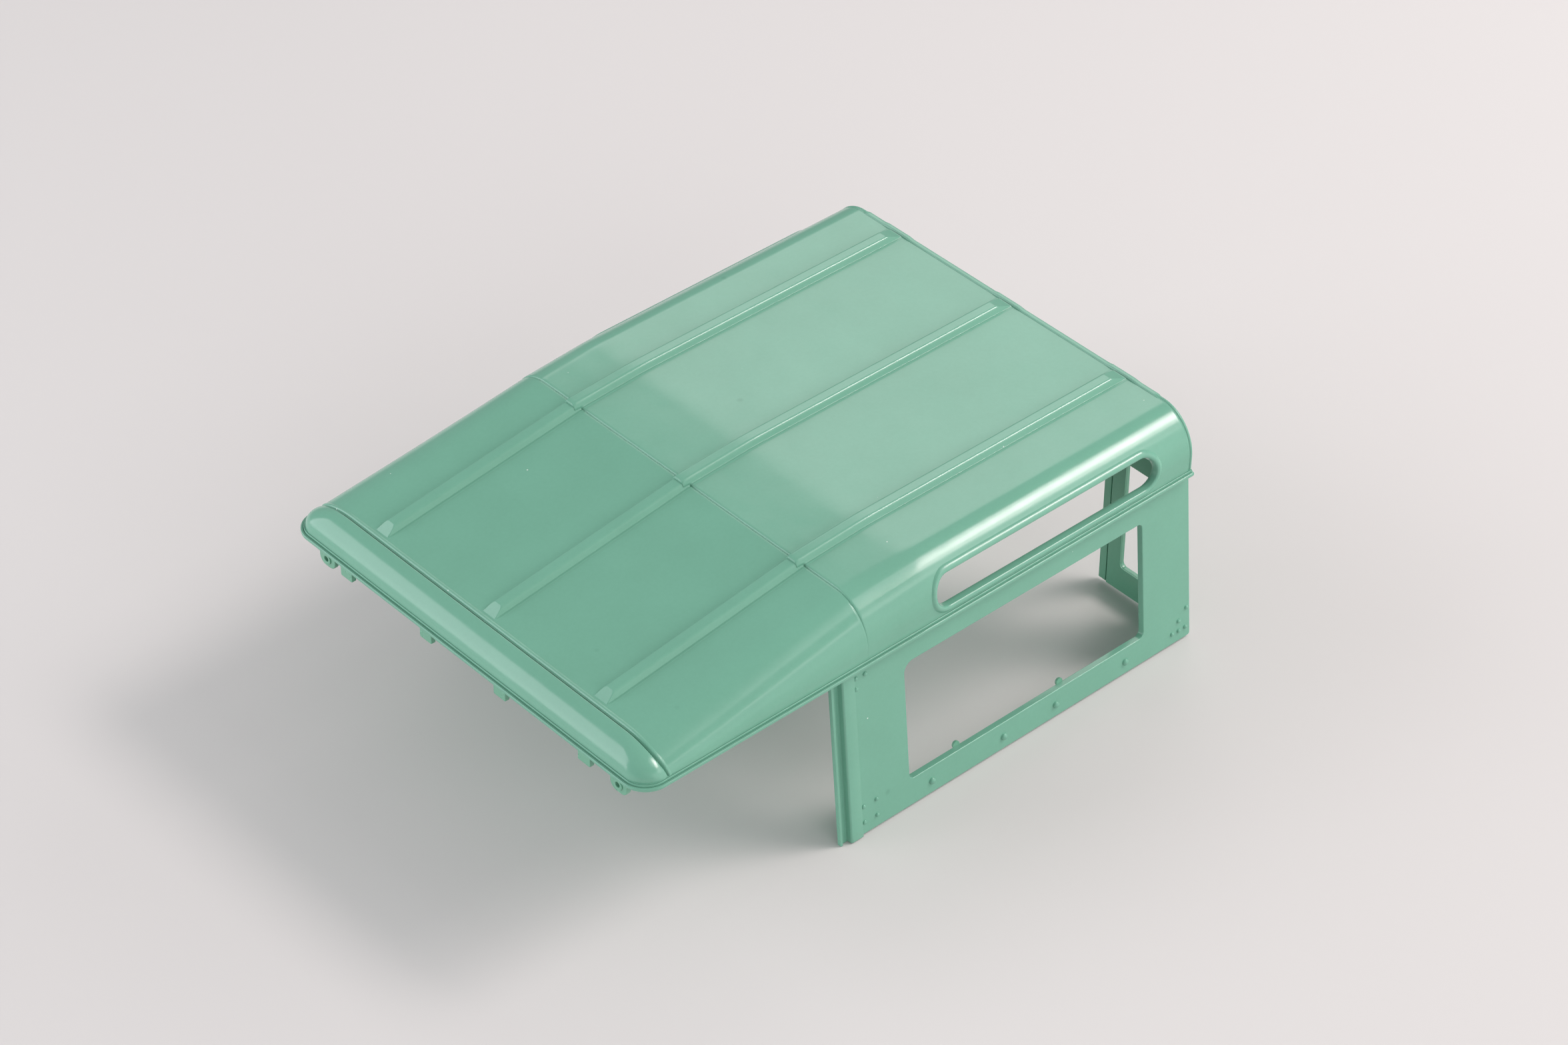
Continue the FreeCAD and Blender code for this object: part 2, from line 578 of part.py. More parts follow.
zs = 1.0 / math.cos(lean)
SMALL = [(128.7, 54.4), (132.0, 9.7), (127.0, 9.7), (127.0, 4.1), (131.9, 4.1), (131.6, 54.5), (131.6, 50.9),
         (1.5, 10.5), (4.8, 7.1), (2.0, 3.7), (4.8, 3.6), (7.6, 3.7)]
SILL = [(105.6, 4.2), (77.1, 4.2), (56.05, 4.2), (27.3, 4.2)]
small = rivet_group("left_small_rivets", [(x, z * zs) for x, z in SMALL], "small_rivet_rad", "small_rivet_tall")
sill = rivet_group("left_sill_rivets", [(x, z * zs) for x, z in SILL], "sill_rivet_rad", "sill_rivet_tall")


# ---------------------------------------------------------------- glazing pegs on the inside of the sill
def peg_group(label):
    pegs = []
    for i, name in enumerate(("peg_rear_x", "peg_front_x")):
        c = doc.addObject("Part::Cylinder", "%s_peg%d" % (label, i))
        c.setExpression("Radius", "Dims.peg_rad")
        c.setExpression("Height", "Dims.peg_len")
        c.Radius, c.Height = D["peg_rad"], D["peg_len"]
        # axis along local -y, seated on the panel's inner face
        c.Placement = FreeCAD.Placement(V(D[name], -D["wall"], D["peg_z"]), FreeCAD.Rotation(V(1, 0, 0), 90))
        c.setExpression("Placement.Base.x", "Dims." + name)
        c.setExpression("Placement.Base.y", "-Dims.wall")
        c.setExpression("Placement.Base.z", "Dims.peg_z")
        pegs.append(c)
    comp = doc.addObject("Part::Compound", "C_" + label)
    comp.Links = pegs
    keep(comp, label)
    lean_place(comp)
    doc.recompute()
    return comp


pegs = peg_group("left_glazing_pegs")

# ---------------------------------------------------------------- locating peg under the rear end
low_y = D["side_top_half"] + lean_t * D["seat_z"]
foot_box = doc.addObject("Part::Box", "left_foot_box")
foot_box.Length = D["foot_front"] - D["foot_rear"]
foot_box.Width = 1.8
foot_box.Height = D["foot_tall"] - D["foot_low"]
foot_box.setExpression("Length", "Dims.foot_front - Dims.foot_rear")
foot_box.setExpression("Height", "Dims.foot_tall - Dims.foot_low")
foot_y = low_y - lean_t * D["foot_tall"] - D["wall"] / math.cos(lean) - 1.8
foot_box.Placement = FreeCAD.Placement(V(D["shift_fwd"] + D["foot_rear"], foot_y, D["lift_up"] + D["foot_low"]), FreeCAD.Rotation())
keep(foot_box, "left_locating_peg")
doc.recompute()

# ---------------------------------------------------------------- clip strip with tabs
body = new_body("windscreen_clip_strip")
sk = new_sketch(body, "clip_face", "YZ_Plane", D["clip_x"], "Dims.clip_x")
P = []


def yz(y, z):
    P.append(((y[0], y[1]), (z[0], z[1])))


yz(dim("clip_half", -1), dim("clip_top"))
yz(dim("clip_half", -1), dim("big_tab_low"))
yz((-D["big_tab_mid"] + D["big_tab_half"], "-Dims.big_tab_mid + Dims.big_tab_half"), dim("big_tab_low"))
yz((-D["big_tab_mid"] + D["big_tab_half"], "-Dims.big_tab_mid + Dims.big_tab_half"), dim("clip_low"))
yz((D["big_tab_mid"] - D["big_tab_half"], "Dims.big_tab_mid - Dims.big_tab_half"), dim("clip_low"))
yz((D["big_tab_mid"] - D["big_tab_half"], "Dims.big_tab_mid - Dims.big_tab_half"), dim("big_tab_low"))
yz(dim("clip_half"), dim("big_tab_low"))
yz(dim("clip_half"), dim("clip_top"))
poly(sk, P, "p")
pad(body, sk, "clip_pad", D["clip_thick"], "Dims.clip_thick")
doc.recompute()
# shelf under the rail, and the four small tabs that hang from its front edge
sk = new_sketch(body, "clip_shelf", "XY_Plane", D["clip_top"] - D["shelf_thick"], "Dims.clip_top - Dims.shelf_thick")
rect(sk, dim("clip_x"), dim("shelf_half", -1),
     (D["small_tab_x"] + D["small_tab_thick"], "Dims.small_tab_x + Dims.small_tab_thick"), dim("shelf_half"), "s")
pad(body, sk, "clip_shelf_pad", D["shelf_thick"], "Dims.shelf_thick")
doc.recompute()
for tag, mid_name, sgn in (("a", "small_tab_a", -1), ("b", "small_tab_b", -1), ("c", "small_tab_b", 1), ("d", "small_tab_a", 1)):
    sign = "" if sgn > 0 else "-"
    m, h = sgn * D[mid_name], D["small_tab_half"]
    sk = new_sketch(body, "clip_small_tab_" + tag, "YZ_Plane", D["small_tab_x"], "Dims.small_tab_x")
    rect(sk, (m - h, "%sDims.%s - Dims.small_tab_half" % (sign, mid_name)), dim("small_tab_low"),
         (m + h, "%sDims.%s + Dims.small_tab_half" % (sign, mid_name)), dim("clip_top"), "t")
    pad(body, sk, "clip_small_tab_pad_" + tag, D["small_tab_thick"], "Dims.small_tab_thick")
    doc.recompute()
# foot of the strip, flat, under the header's inside
sk = new_sketch(body, "clip_foot", "XY_Plane", D["seat_z"] - 1.6, "Dims.seat_z - 1.6")
rect(sk, dim("clip_foot_x"), (-55.0, None), (D["clip_x"] + 0.8, "Dims.clip_x + 0.8"), (55.0, None), "f")
pad(body, sk, "clip_foot_pad", 1.6, None)
doc.recompute()
sk = new_sketch(body, "clip_holes", "YZ_Plane")
circle(sk, dim("big_tab_mid"), dim("big_hole_z"), dim("big_hole_rad"), "a")
circle(sk, dim("big_tab_mid", -1), dim("big_hole_z"), dim("big_hole_rad"), "b")
pocket(body, sk, "clip_holes_cut")
place(body)
doc.recompute()

# ---------------------------------------------------------------- screws
def screw(label, i, x, y, z_seat, length):
    """Pan-head self-tapping screw, head down, shank up."""
    head = doc.addObject("Part::Cylinder", "%s_head%d" % (label, i))
    head.setExpression("Radius", "Dims.screw_head_rad")
    head.setExpression("Height", "Dims.screw_head_tall")
    head.Radius, head.Height = D["screw_head_rad"], D["screw_head_tall"]
    head.Placement = FreeCAD.Placement(V(x, y, z_seat - D["screw_head_tall"]), FreeCAD.Rotation())
    shank = doc.addObject("Part::Cylinder", "%s_shank%d" % (label, i))
    shank.setExpression("Radius", "Dims.screw_rad")
    shank.Radius, shank.Height = D["screw_rad"], length
    shank.Placement = FreeCAD.Placement(V(x, y, z_seat - 0.2), FreeCAD.Rotation())
    both = doc.addObject("Part::MultiFuse", "%s_screw%d" % (label, i))
    both.Shapes = [head, shank]
    return both


def screw_group(label, spots, length):
    ss = [screw(label, i, x, y, z, length) for i, (x, y, z) in enumerate(spots)]
    comp = doc.addObject("Part::Compound", "C_" + label)
    comp.Links = ss
    keep(comp, label)
    place(comp)
    doc.recompute()
    return comp


# the tabs lean with the panel, so each head seats just under the tab's lower face
tab_low = D["tab_low"]
left_screws = screw_group("left_roof_screws", [(D["boss_rear_x"], D["boss_y"], tab_low), (D["boss_front_x"], D["boss_y"], tab_low)],
                          D["screw_len"])

# ---------------------------------------------------------------- the right-hand twins
mirror(left_rail, "right_drip_rail")
mirror(left_side, "right_side_panel")
mirror(left_post, "right_door_post")
mirror(left_corner, "right_rear_corner_panel")
mirror(small, "right_small_rivets")
mirror(sill, "right_sill_rivets")
mirror(pegs, "right_glazing_pegs")
mirror(foot_box, "right_locating_peg")
mirror(left_screws, "right_roof_screws")
doc.recompute()

# ---------------------------------------------------------------- check and write
bad = []
for obj in doc.Objects:
    if "Invalid" in obj.State or "Error" in obj.State:
        bad.append("%s %s" % (obj.Name, obj.State))
total = None
for obj in PARTS:
    s = obj.Shape
    if s.isNull() or not s.isValid() or s.Volume <= 0 or not s.Solids:
        bad.append("%s shape" % obj.Label)
        continue
    b = s.BoundBox
    print("%-26s solids %2d vol %9.1f  x %7.2f %7.2f  y %7.2f %7.2f  z %6.2f %6.2f" % (
        obj.Label, len(s.Solids), s.Volume, b.XMin, b.XMax, b.YMin, b.YMax, b.ZMin, b.ZMax))
    total = b if total is None else total.united(b)
if bad:
    raise RuntimeError("; ".join(bad))
print("whole part: x %.2f %.2f y %.2f %.2f z %.2f %.2f" % (total.XMin, total.XMax, total.YMin, total.YMax, total.ZMin, total.ZMax))
os.makedirs("parts", exist_ok=True)
for old in os.listdir("parts"):
    if old.endswith(".step"):
        os.remove(os.path.join("parts", old))
for obj in PARTS:
    obj.Shape.exportStep("parts/%s.step" % obj.Label)
print("wrote", len(PARTS), "parts")
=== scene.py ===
import math

import bmesh
import bpy
import numpy as np
from mathutils import Matrix, Vector

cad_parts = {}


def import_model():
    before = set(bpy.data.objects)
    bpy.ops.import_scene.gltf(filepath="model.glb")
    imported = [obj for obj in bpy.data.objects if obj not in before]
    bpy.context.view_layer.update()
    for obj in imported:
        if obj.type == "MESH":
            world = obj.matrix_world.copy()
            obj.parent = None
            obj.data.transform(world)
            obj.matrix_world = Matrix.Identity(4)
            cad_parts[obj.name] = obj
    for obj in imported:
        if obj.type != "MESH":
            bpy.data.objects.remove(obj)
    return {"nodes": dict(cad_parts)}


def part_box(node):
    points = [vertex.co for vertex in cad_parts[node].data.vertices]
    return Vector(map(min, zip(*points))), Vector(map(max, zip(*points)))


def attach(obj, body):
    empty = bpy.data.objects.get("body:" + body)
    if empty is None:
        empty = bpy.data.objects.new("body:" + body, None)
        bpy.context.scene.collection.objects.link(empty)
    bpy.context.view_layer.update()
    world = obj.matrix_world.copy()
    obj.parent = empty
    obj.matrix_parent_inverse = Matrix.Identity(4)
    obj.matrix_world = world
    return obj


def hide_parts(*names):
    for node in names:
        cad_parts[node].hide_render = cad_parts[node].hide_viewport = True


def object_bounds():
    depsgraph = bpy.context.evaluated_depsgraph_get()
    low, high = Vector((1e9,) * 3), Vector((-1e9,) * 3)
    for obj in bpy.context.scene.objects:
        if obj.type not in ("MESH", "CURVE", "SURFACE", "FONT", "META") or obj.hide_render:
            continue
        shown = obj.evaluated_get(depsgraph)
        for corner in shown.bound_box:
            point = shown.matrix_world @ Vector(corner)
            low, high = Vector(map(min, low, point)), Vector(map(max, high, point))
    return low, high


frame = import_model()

CAD_LO, CAD_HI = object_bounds()
SX = -CAD_LO.x * 1000.0  # rear end of the part, mm behind the origin
SZ = 0.6  # height of the side panels' lower edge over the origin, mm
ORG = np.array([-SX, 0.0, SZ])


def world(points):
    """Part millimetres (x from the rear end, z from the side panels' edge) to metres in the row frame."""
    return (np.asarray(points, float).reshape(-1, 3) + ORG) * 0.001


# ------------------------------------------------------------------ sizes, mm
HALF, ROOF, FOOT, SEAT, WALL = 76.2, 78.65, 60.0, 58.84, 2.2
BEND, SEAM, GROOVE, END = 105.0, 128.3, 202.0, 2.0 * SX
RIBS = (-48.03, -0.4, 47.23)
LEAN = math.radians(5.444)
TL = math.tan(LEAN)
SLOPE1 = (77.4 - ROOF) / (SEAM - BEND)
SLOPE2 = (67.2 - 77.05) / (GROOVE - SEAM)


def smooth(a, b, v):
    t = np.clip((np.asarray(v, float) - a) / (b - a), 0.0, 1.0)
    return t * t * (3.0 - 2.0 * t)


def top_z(x):
    """Roof height over the seat line at x, with the bend rounded."""
    d = np.asarray(x, float) - BEND
    r = 3.5
    drop = np.where(d < -r, 0.0, np.where(d < r, (d + r) ** 2 / (4 * r), d)) * SLOPE1
    rear = ROOF + drop
    front = 77.05 + (np.asarray(x, float) - SEAM) * SLOPE2
    return np.where(np.asarray(x, float) <= SEAM + 1e-6, rear, front)


def corner(x):
    """Corner ellipse of the section at x: its centre (y, z), half-width and height."""
    x = np.asarray(x, float)
    t = np.clip((x - BEND) / (GROOVE - BEND), 0.0, 1.0)
    wide = 12.7 + (17.0 - 12.7) * t
    low = 64.5 + (58.84 - 64.5) * t
    return HALF - wide, low, wide, top_z(x) - low


# ------------------------------------------------------------------ columns across the roof
RIB_OFF = [4.4, 3.6, 3.5, 3.42, 3.35, 3.28, 3.15, 2.9, 2.75, 2.66, 2.58, 2.5, 2.42, 2.34, 2.26, 2.18, 2.1, 2.03, 1.96, 1.89, 1.82, 1.75, 1.68,
           1.6, 1.52, 1.43, 1.33, 1.22, 1.1, 0.95, 0.7, 0.3, 0.0]
RIB_Y = sorted({round(c + s * o, 4) for c in RIBS for o in RIB_OFF for s in (-1, 1) if abs(c + s * o) <= 57.0})
GRID_Y = [v for v in np.arange(-57.6, 58.0, 3.2).tolist() if min(abs(v - w) for w in RIB_Y) > 0.4]
FLAT_Y = np.array(sorted(RIB_Y + [round(v, 4) for v in GRID_Y] + [-58.0, 58.0]))
N_EDGE, N_ARC, N_WALL = 5, 36, 6


def columns():
    """Each column is (kind, value): a place on the flat, on the corner, or on the wall."""
    cols = [("wall", k / N_WALL, 1) for k in range(N_WALL)]
    cols += [("arc", k / N_ARC, 1) for k in range(N_ARC)]
    cols += [("edge", k / N_EDGE, 1) for k in range(N_EDGE)]
    cols += [("flat", v, 0) for v in FLAT_Y[::-1]]
    cols += [("edge", 1 - (k + 1) / N_EDGE, -1) for k in range(N_EDGE)]
    cols += [("arc", 1 - (k + 1) / N_ARC, -1) for k in range(N_ARC)]
    cols += [("wall", 1 - (k + 1) / N_WALL, -1) for k in range(N_WALL)]
    return cols


COLS = columns()


def section(x, off=0.0, foot=FOOT):
    """Section of the roof at x: places (n, 2) as y and z, and their outward directions."""
    yc, low, wide, tall = (float(v) for v in corner(x))
    a, b = wide - off, tall - off
    foot_t = 0.0
    if low < foot:
        foot_t = math.asin(min(1.0, (foot - low) / b))
    pts, nor = [], []
    flat_end = 58.0
    for kind, v, side in COLS:
        if kind == "wall":
            if low > foot:
                p, n = (HALF - off, foot + (low - foot) * v), (1.0, 0.0)
            else:
                t = foot_t * 1e-3 * v + foot_t
                p, n = (yc + a * math.cos(foot_t), foot + 1e-3 * v), (math.cos(t) / a, math.sin(t) / b)
        elif kind == "arc":
            t = foot_t + (math.pi / 2 - foot_t) * v
            p, n = (yc + a * math.cos(t), low + b * math.sin(t)), (math.cos(t) / a, math.sin(t) / b)
        elif kind == "edge":
            p, n = (yc + (flat_end - yc) * v, low + b), (0.0, 1.0)
        else:
            p, n = (v, low + b), (0.0, 1.0)
        sgn = side if side else 1
        ln = math.hypot(*n)
        pts.append((sgn * p[0], p[1]))
        nor.append((sgn * n[0] / ln, n[1] / ln))
    return np.array(pts), np.array(nor)


def fillet_curve(points, seg=10):
    """An open polyline with a radius at each inner corner: points are (u, v, radius)."""
    out = [np.array(points[0][:2], float)]
    for p0, p1, p2 in zip(points[:-2], points[1:-1], points[2:]):
        a0, b0, c0 = (np.array(q[:2], float) for q in (p0, p1, p2))
        u, v = (a0 - b0) / np.linalg.norm(a0 - b0), (c0 - b0) / np.linalg.norm(c0 - b0)
        half = math.acos(np.clip(u @ v, -1, 1)) / 2
        L = p1[2] / math.tan(half)
        s, e = b0 + u * L, b0 + v * L
        mid = b0 + (u + v) / np.linalg.norm(u + v) * (p1[2] / math.sin(half))
        ss, ee = s - mid, e - mid
        turn = math.atan2(ss[0] * ee[1] - ss[1] * ee[0], ss @ ee)
        for k in range(seg + 1):
            t = turn * k / seg
            out.append(mid + np.array([ss[0] * math.cos(t) - ss[1] * math.sin(t), ss[0] * math.sin(t) + ss[1] * math.cos(t)]))
    out.append(np.array(points[-1][:2], float))
    return np.array(out)


RIB_CURVE = fillet_curve([(0.0, 2.0), (1.74, 2.0, 1.0), (2.6, 0.05, 0.12), (3.3, 0.05, 0.05), (3.5, 0.0, 0.05), (4.4, 0.0)])


def rib_profile(dy):
    """Height of a rib across its width, 0 to 1, with a rounded crest edge and a small foot fillet."""
    return np.interp(np.abs(dy), RIB_CURVE[:, 0], RIB_CURVE[:, 1]) / 2.0


def shell(outer, inner, wrap=False):
    """A closed shell from two grids of the same shape."""
    nu, nv = outer.shape[:2]
    V = np.concatenate([outer.reshape(-1, 3), inner.reshape(-1, 3)])
    I = np.arange(nu * nv).reshape(nu, nv)
    J = I + nu * nv
    F = []

    def quads(a, b, c, d):
        F.extend(np.stack([a.ravel(), b.ravel(), c.ravel(), d.ravel()], 1).tolist())

    if wrap:
        I = np.concatenate([I, I[:1]], 0)
        J = np.concatenate([J, J[:1]], 0)
    quads(I[:-1, :-1], I[1:, :-1], I[1:, 1:], I[:-1, 1:])
    quads(J[:-1, :-1], J[:-1, 1:], J[1:, 1:], J[1:, :-1])
    quads(I[:-1, 0], J[:-1, 0], J[1:, 0], I[1:, 0])
    quads(I[:-1, -1], I[1:, -1], J[1:, -1], J[:-1, -1])
    if not wrap:
        quads(I[0, :-1], I[0, 1:], J[0, 1:], J[0, :-1])
        quads(I[-1, :-1], J[-1, :-1], J[-1, 1:], I[-1, 1:])
    return V, F


def sweep(profile_at, ring_count, closed_path=False):
    """A closed profile carried along a path: profile_at(i) gives the (n, 3) points of ring i."""
    rings = [np.asarray(profile_at(i), float) for i in range(ring_count)]
    n = len(rings[0])
    V = np.concatenate(rings)
    F = []
    last = ring_count if closed_path else ring_count - 1
    for i in range(last):
        a, b = i * n, ((i + 1) % ring_count) * n
        for k in range(n):
            k2 = (k + 1) % n
            F.append([a + k, a + k2, b + k2, b + k])
    if not closed_path:
        F.append(list(range(n))[::-1])
        F.append([(ring_count - 1) * n + k for k in range(n)])
    return V, F


def join(*parts):
    V, F, base = [], [], 0
    for v, f in parts:
        V.append(np.asarray(v, float).reshape(-1, 3))
        F.extend([[i + base for i in face] for face in f])
        base += len(v)
    return np.concatenate(V), F


def mirrored(part):
    v, f = part
    v = np.array(v, float)
    v[:, 1] *= -1
    return v, [list(reversed(face)) for face in f]


def piece(name, part, nodes=(), mats=(), angle=38.0, weighted=False, raw=False):
    """One named piece of the part, riding on the only body."""
    v, f = part
    me = bpy.data.meshes.new(name)
    me.from_pydata((np.asarray(v) if raw else world(v)).tolist(), [], f)
    bm = bmesh.new()
    bm.from_mesh(me)
    bmesh.ops.remove_doubles(bm, verts=bm.verts, dist=1e-7)
    bmesh.ops.recalc_face_normals(bm, faces=bm.faces)
    bm.to_mesh(me)
    bm.free()
    ob = bpy.data.objects.new(name, me)
    bpy.context.scene.collection.objects.link(ob)
    for m in mats:
        me.materials.append(m)
    me.shade_smooth()
    me.set_sharp_from_angle(angle=math.radians(angle))
    if weighted:
        w = ob.modifiers.new("even_normals", "WEIGHTED_NORMAL")
        w.keep_sharp = True
        w.weight = 80
    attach(ob, "root")
    if nodes:
        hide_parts(*nodes)
    return ob


def cut(ob, tool_parts):
    """Takes tool_parts away from ob."""
    v, f = join(*tool_parts)
    me = bpy.data.meshes.new("tool")
    me.from_pydata(world(v).tolist(), [], f)
    bm = bmesh.new()
    bm.from_mesh(me)
    bmesh.ops.recalc_face_normals(bm, faces=bm.faces)
    bm.to_mesh(me)
    bm.free()
    tool = bpy.data.objects.new("tool", me)
    bpy.context.scene.collection.objects.link(tool)
    m = ob.modifiers.new("cut", "BOOLEAN")
    m.operation, m.solver, m.object = "DIFFERENCE", "EXACT", tool
    dg = bpy.context.evaluated_depsgraph_get()
    done = bpy.data.meshes.new_from_object(ob.evaluated_get(dg))
    ob.modifiers.remove(m)
    old = ob.data
    ob.data = done
    bpy.data.meshes.remove(old)
    bpy.data.objects.remove(tool)
    bpy.data.meshes.remove(me)


# ------------------------------------------------------------------ plates with rounded edges
def inset(loop, d):
    """Moves a closed 2-D loop d to its left, mitred."""
    P = np.asarray(loop, float)
    a = P - np.roll(P, 1, 0)
    b = np.roll(P, -1, 0) - P
    a /= np.linalg.norm(a, axis=1)[:, None]
    b /= np.linalg.norm(b, axis=1)[:, None]
    na = np.stack([-a[:, 1], a[:, 0]], 1)
    nb = np.stack([-b[:, 1], b[:, 0]], 1)
    m = na + nb
    m /= np.maximum((m * na).sum(1), 0.25)[:, None]
    # |m| chosen so that the offset from both edges is d
    k = 1.0 / np.maximum((m * na).sum(1), 0.25)
    return P + m * (d * k)[:, None]


def plate(loops, thick, b, place, seg=3):
    """A plate between w = 0 (its face) and w = -thick, all its edges rounded by b. loops are (u, v), the
    outline anticlockwise and holes clockwise, so that material lies to the left. place maps (n, 3) u, v, w to mm."""
    bm = bmesh.new()
    levels = []
    for k in range(seg + 1):
        t = math.pi / 2 * k / seg
        levels.append((b * (1 - math.sin(t)), -b * (1 - math.cos(t))))
    for k in range(seg + 1):
        t = math.pi / 2 * (1 - k / seg)
        levels.append((b * (1 - math.sin(t)), -thick + b * (1 - math.cos(t))))
    tops, bottoms = [], []
    for loop in loops:
        rings = []
        for d, w in levels:
            q = inset(loop, d) if d > 1e-9 else np.asarray(loop, float)
            rings.append([bm.verts.new((float(u), float(v), float(w))) for u, v in q])
        n = len(loop)
        for r0, r1 in zip(rings[:-1], rings[1:]):
            for k in range(n):
                bm.faces.new((r0[k], r1[k], r1[(k + 1) % n], r0[(k + 1) % n]))
        tops.append(rings[0])
        bottoms.append(rings[-1])
    for group in (tops, bottoms):
        edges = []
        for ring in group:
            for k in range(len(ring)):
                e = bm.edges.get((ring[k], ring[(k + 1) % len(ring)]))
                edges.append(e)
        bmesh.ops.triangle_fill(bm, use_beauty=True, edges=edges)
    bm.verts.ensure_lookup_table()
    bm.verts.index_update()
    V = np.array([v.co[:] for v in bm.verts])
    F = [[v.index for v in f.verts] for f in bm.faces]
    bm.free()
    return place(V), F


def round_poly(corners, seg=8):
    """A polygon with a radius at each corner: corners are (u, v, radius)."""
    n = len(corners)
    out = []
    for i in range(n):
        p0, p1, p2 = (np.array(corners[(i + k - 1) % n][:2], float) for k in range(3))
        r = corners[i][2]
        if r <= 0:
            out.append(p1)
            continue
        a, b = (p0 - p1) / np.linalg.norm(p0 - p1), (p2 - p1) / np.linalg.norm(p2 - p1)
        ang = math.acos(np.clip(a @ b, -1, 1))
        L = r / math.tan(ang / 2)
        c = p1 + (a + b) / np.linalg.norm(a + b) * (r / math.sin(ang / 2))
        s, e = p1 + a * L - c, p1 + b * L - c
        sweep_angle = math.atan2(s[0] * e[1] - s[1] * e[0], s @ e)
        for k in range(seg + 1):
            t = sweep_angle * k / seg
            out.append(c + np.array([s[0] * math.cos(t) - s[1] * math.sin(t), s[0] * math.sin(t) + s[1] * math.cos(t)]))
    return np.array(out)


def side_place(P):
    """u along x, v down the leaning side from the seat line, w outwards from the panel's face."""
    x, s, w = P[:, 0], P[:, 1], P[:, 2]
    y = 75.0 + s * math.sin(LEAN) + w * math.cos(LEAN)
    z = SEAT - s * math.cos(LEAN) + w * math.sin(LEAN)
    return np.stack([x, y, z], 1)


def s_of(z):
    return (SEAT - z) / math.cos(LEAN)


def box_part(lo, hi, b=0.15, place=None, seg=3):
    """A block with rounded edges, standing along v."""
    loop = round_poly([(lo[0], lo[1], min(b, (hi[0] - lo[0]) / 3)), (hi[0], lo[1], b), (hi[0], hi[1], b), (lo[0], hi[1], b)], 3)
    f = place or (lambda P: P)
    return plate([loop], hi[2] - lo[2], b * 0.9, lambda P: f(P + np.array([0, 0, hi[2]])), seg)


# ------------------------------------------------------------------ materials
def node(nt, kind, **kw):
    n = nt.nodes.new(kind)
    for k, v in kw.items():
        setattr(n, k, v)
    return n


